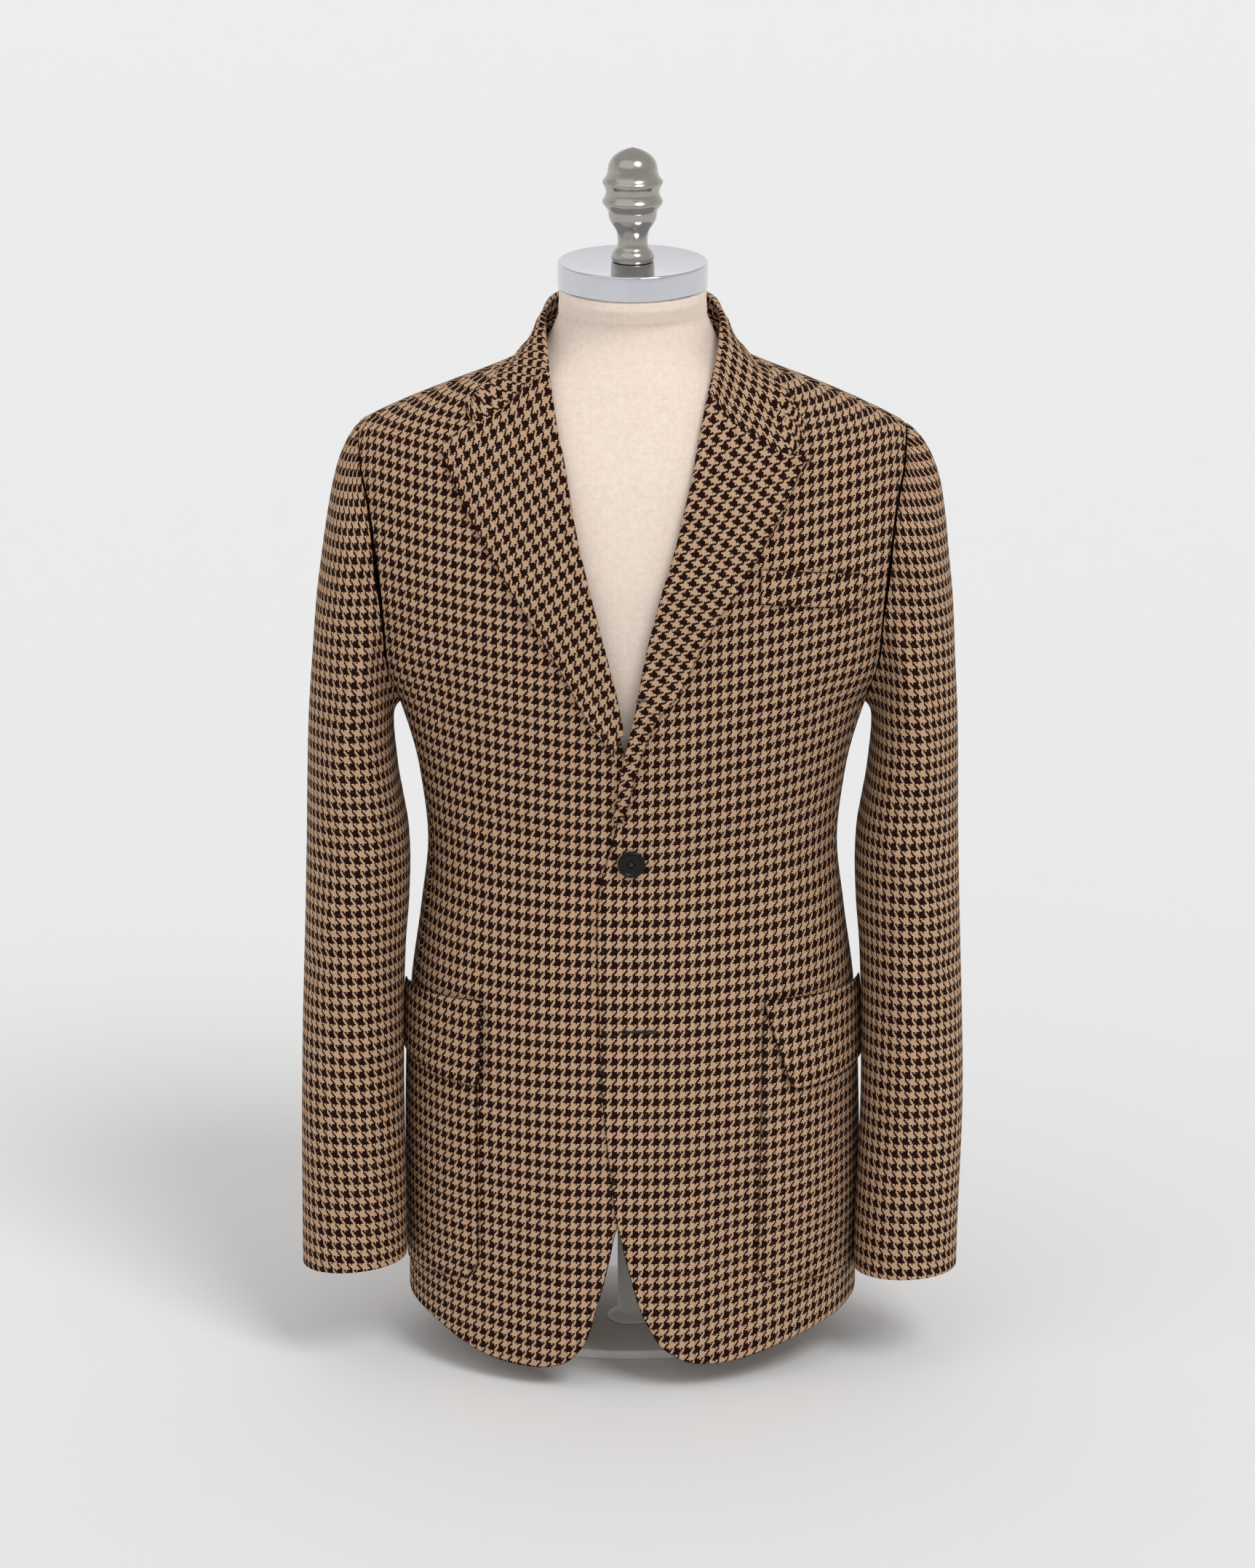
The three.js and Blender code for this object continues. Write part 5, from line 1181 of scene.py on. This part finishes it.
def makeStand():
    s = standForm
    length = s["top"] - s["plate"][2] - 0.3
    column = [(0.2, 0), (s["flange"] - 0.8, 0), (s["flange"], 0.8), (s["flange"], s["rim"] - 0.8),
              (s["flange"] - 0.9, s["rim"]), (s["columnRadius"] + 1.2, s["taper"] - 1.4),
              (s["columnRadius"], s["taper"]), (s["columnRadius"], length), (0.2, length)]
    addRigid("standPost", "stand_column", *turned(column, 64, s["plate"][2] + 0.3), hard["powderCoat"], "painted_steel")
    a, b, t = s["plate"]
    angle = np.linspace(0, 2 * math.pi, 161)[:-1]
    rings = [
        np.stack([(a - e) * np.cos(angle), (b - e) * np.sin(angle) + s["setBack"], z + 0 * angle], -1)
        for e, z in [(a * 0.6, 0), (1.4, 0), (0.4, 0.5), (0, 1.5), (0, t - 1.5), (0.4, t - 0.5), (1.4, t), (a * 0.6, t)]
    ]
    addRigid("standPlate", "base_plate", *ringMesh(rings), hard["powderCoat"], "painted_steel")


makeStand()

# front button, sewn on through four holes
buttonForm = {
    "x": -1, "z": 435, "seat": 1.2,
    # radius and height, from the back round the rim to the dished middle
    "profile": [(0.2, 0), (8.65, 0), (9.65, 0.3), (10.55, 1), (10.85, 2.2), (10.75, 2.9), (10.35, 3.5), (9.6, 3.9),
                (8.9, 3.8), (8.3, 3.3), (7.8, 2.7), (7.2, 2.45), (6.4, 2.5)],
    "middle": 2.5, "holeRadius": 1.15, "holeOut": 2.3, "holeDepth": 1.9, "threadRadius": 0.3,
    "post": np.linspace(-1.35, 0.3, 15), "postRadius": 1.7,  # the thread wound between the button and the cloth
}


def tubeAlong(points, radii, aside, sides=10):
    # a round thread through the points; aside is a direction that the thread never takes
    points = np.asarray(points, float)
    along = unit(np.gradient(points, axis=0))
    beside = unit(np.cross(along, aside))
    above = np.cross(beside, along)
    angle = np.linspace(0, 2 * math.pi, sides + 1)[:-1][None, :, None]
    radii = (np.asarray(radii, float) * np.ones(len(points)))[:, None, None]
    return ringMesh(points[:, None] + radii * (beside[:, None] * np.cos(angle) + above[:, None] * np.sin(angle)))


def joined(parts):
    vertices, faces, count = [], [], 0
    for points, polygons in parts:
        vertices.append(points)
        faces += [[corner + count for corner in polygon] for polygon in polygons]
        count += len(points)
    return np.concatenate(vertices), faces


def makeButton():
    b = buttonForm
    seat = offsetPoints(np.array(float(b["x"])), np.array(float(b["z"])), np.array(b["seat"]), fronts[0])
    inner = [(radius, b["middle"]) for radius in np.arange(6.2, 0.1, -0.2)]
    vertices, faces = turned([*b["profile"], *inner], 120, 0)
    holes = [(b["holeOut"] * math.cos(a), b["holeOut"] * math.sin(a)) for a in np.radians((0, 90, 180, 270))]
    for x, y in holes:
        off = np.hypot(vertices[:, 0] - x, vertices[:, 1] - y)
        sunk = smoothStep(b["holeRadius"], b["holeRadius"] * 0.72, off) * (vertices[:, 2] > 2)
        vertices[:, 2] -= b["holeDepth"] * sunk
    threads = []
    for (x, y), aside in ((holes[0], (0, 1, 0)), (holes[1], (1, 0, 0))):
        for shift in (-0.5, 0, 0.5):
            t = np.linspace(-1, 1, 15)[:, None]
            way = np.array([x, y, 0]) * t + np.array(aside) * shift * (1 - 0.5 * t**2)
            way[:, 2] = b["middle"] + 0.3 - 1.3 * np.abs(t[:, 0]) ** 6
            threads.append(tubeAlong(way, b["threadRadius"], aside, 8))
    post = np.stack([0 * b["post"], 0 * b["post"], b["post"]], -1)
    threads.append(tubeAlong(post, b["postRadius"] * (1 + 0.08 * np.cos(b["post"] * 9)), (0, 1, 0), 14))
    turn = np.array(Vector((0, 0, 1)).rotation_difference(Vector(bodyNormals(seat))).to_matrix())
    addRigid("hornButton", "button_front", vertices @ turn.T + seat, faces, hard["darkHorn"], "horn")
    vertices, faces = joined(threads)
    addRigid("buttonThread", None, vertices @ turn.T + seat, faces, hard["buttonTwist"], "tweed")


# worked buttonholes: a bead of close stitches round each slit, with a round eye at its front end
buttonholes = {
    # length, slit's half width, eye's radius, bead's radius, one stitch's length
    "slit": 23.5, "half": 0.62, "eye": 1.7, "bead": 0.62, "stitch": 0.7,
    # name, front end out and up, height over the front, turn in degrees, share of the length that shows, finish
    "places": [("lowerButtonhole", -6.5, 300, 0.25, 0, 1, "buttonTwist"),
               ("lapelButtonhole", 4.6, 570.5, 3.9, 12, 0.2, "palerTwist")],
}


def makeButtonhole(name, out, up, lift, turn, share, finish):
    b = buttonholes
    length = b["slit"] * share
    opening = math.asin(b["half"] / b["eye"])
    round_ = np.linspace(opening, 2 * math.pi - opening, 26)
    eye = np.stack([b["eye"] * np.cos(round_), b["eye"] * np.sin(round_)], -1)
    end = np.array([(length, -b["half"]), (length + 0.5, 0), (length, b["half"])])
    path = planeCurve([end[1], end[2], (length / 2, b["half"]), *eye, (length / 2, -b["half"]), end[0], end[1]])
    stitches = round((2 * length + 8) / b["stitch"])
    shares = np.linspace(0, 1, stitches * 5 + 1)
    flat = path(shares)
    lean = math.radians(turn)
    x = out + flat[:, 0] * math.cos(lean) - flat[:, 1] * math.sin(lean)
    z = up + flat[:, 0] * math.sin(lean) + flat[:, 1] * math.cos(lean)
    points = offsetPoints(x, z, lift + 0 * x, fronts[0])
    radii = b["bead"] * (1 + 0.16 * np.sin(2 * math.pi * stitches * shares))
    bead = tubeAlong(points, radii, bodyNormals(points), 10)
    barZ = np.linspace(-1.5, 1.5, 25)
    barX, barUp = out + (length + 0.6) * math.cos(lean) - barZ * math.sin(lean), up + length * math.sin(lean) + barZ
    bar = offsetPoints(barX, barUp, lift + 0.15 + 0 * barZ, fronts[0])
    barTube = tubeAlong(bar, b["bead"] * (1.15 + 0.15 * np.sin(barZ * 9)), bodyNormals(bar), 10)
    addRigid(name, None, *joined([bead, barTube]), hard[finish], "tweed")


makeButton()
for place in buttonholes["places"]:
    makeButtonhole(*place)
print("stand, button and buttonholes made")

# floor, light and camera
studio = {
    "floor": "#efefef", "paper": (11, 3, 7),  # metres: how far the floor runs level, the bend and the wall's height
    "world": "#ffffff", "worldStrength": 0.6,
    # a soft key from the wearer's left and above, and a broad weaker one: turn, height, width, power
    "keys": [((34, 50), 24, 1.12), ((-38, 38), 70, 0.4)],
    "camera": {"place": (-0.004, -5.2525, 2.0988), "pitch": 17.3, "focal": 9500},
}


def makeStudio():
    reach, rise, wall = studio["paper"]
    # the floor turns up into a round wall a long way off
    angle = np.linspace(0, 2 * math.pi, 97)[:-1]
    bend = [(reach + rise * math.sin(a), rise * (1 - math.cos(a))) for a in np.radians(np.arange(0, 91, 7.5))]
    rings = [np.stack([r * np.sin(angle), -r * np.cos(angle), z + 0 * angle], -1) for r, z in [*bend, (bend[-1][0], wall)]]
    index = np.arange(len(rings) * 96).reshape(-1, 96)
    following = np.roll(index, -1, axis=1)
    faces = np.stack([index[1:], following[1:], following[:-1], index[:-1]], -1).reshape(-1, 4).tolist()
    mesh = bpy.data.meshes.new("studioFloor")
    mesh.from_pydata(np.concatenate(rings).tolist(), [], [index[0].tolist(), *faces])
    mesh.polygons.foreach_set("use_smooth", np.ones(len(mesh.polygons), bool))
    floor = bpy.data.objects.new("studioFloor", mesh)
    bpy.context.scene.collection.objects.link(floor)
    material, tree, shader = newMaterial("seamlessPaper")
    shader.inputs["Base Color"].default_value = linear(studio["floor"])
    shader.inputs["Roughness"].default_value = 0.95
    mesh.materials.append(material)
    world = bpy.data.worlds.new("studioWorld")
    bpy.context.scene.world = world
    world.use_nodes = True
    background = world.node_tree.nodes["Background"]
    background.inputs[0].default_value = linear(studio["world"])
    background.inputs[1].default_value = studio["worldStrength"]
    for number, ((turn, height), width, power) in enumerate(studio["keys"]):
        data = bpy.data.lights.new(f"softKey{number}", "SUN")
        data.angle, data.energy = math.radians(width), power
        lamp = bpy.data.objects.new(f"softKey{number}", data)
        lamp.rotation_euler = (math.radians(90 - height), 0, math.radians(turn))
        bpy.context.scene.collection.objects.link(lamp)
    view = studio["camera"]
    data = bpy.data.cameras.new("photoCamera")
    data.sensor_width = 36
    data.lens = view["focal"] / 2156 * 36
    camera = bpy.data.objects.new("photoCamera", data)
    camera.location = view["place"]
    camera.rotation_euler = (math.radians(90 - view["pitch"]), 0, 0)
    bpy.context.scene.collection.objects.link(camera)
    bpy.context.scene.camera = camera
    bpy.context.scene.view_settings.view_transform = "Standard"


makeStudio()
print("studio made")
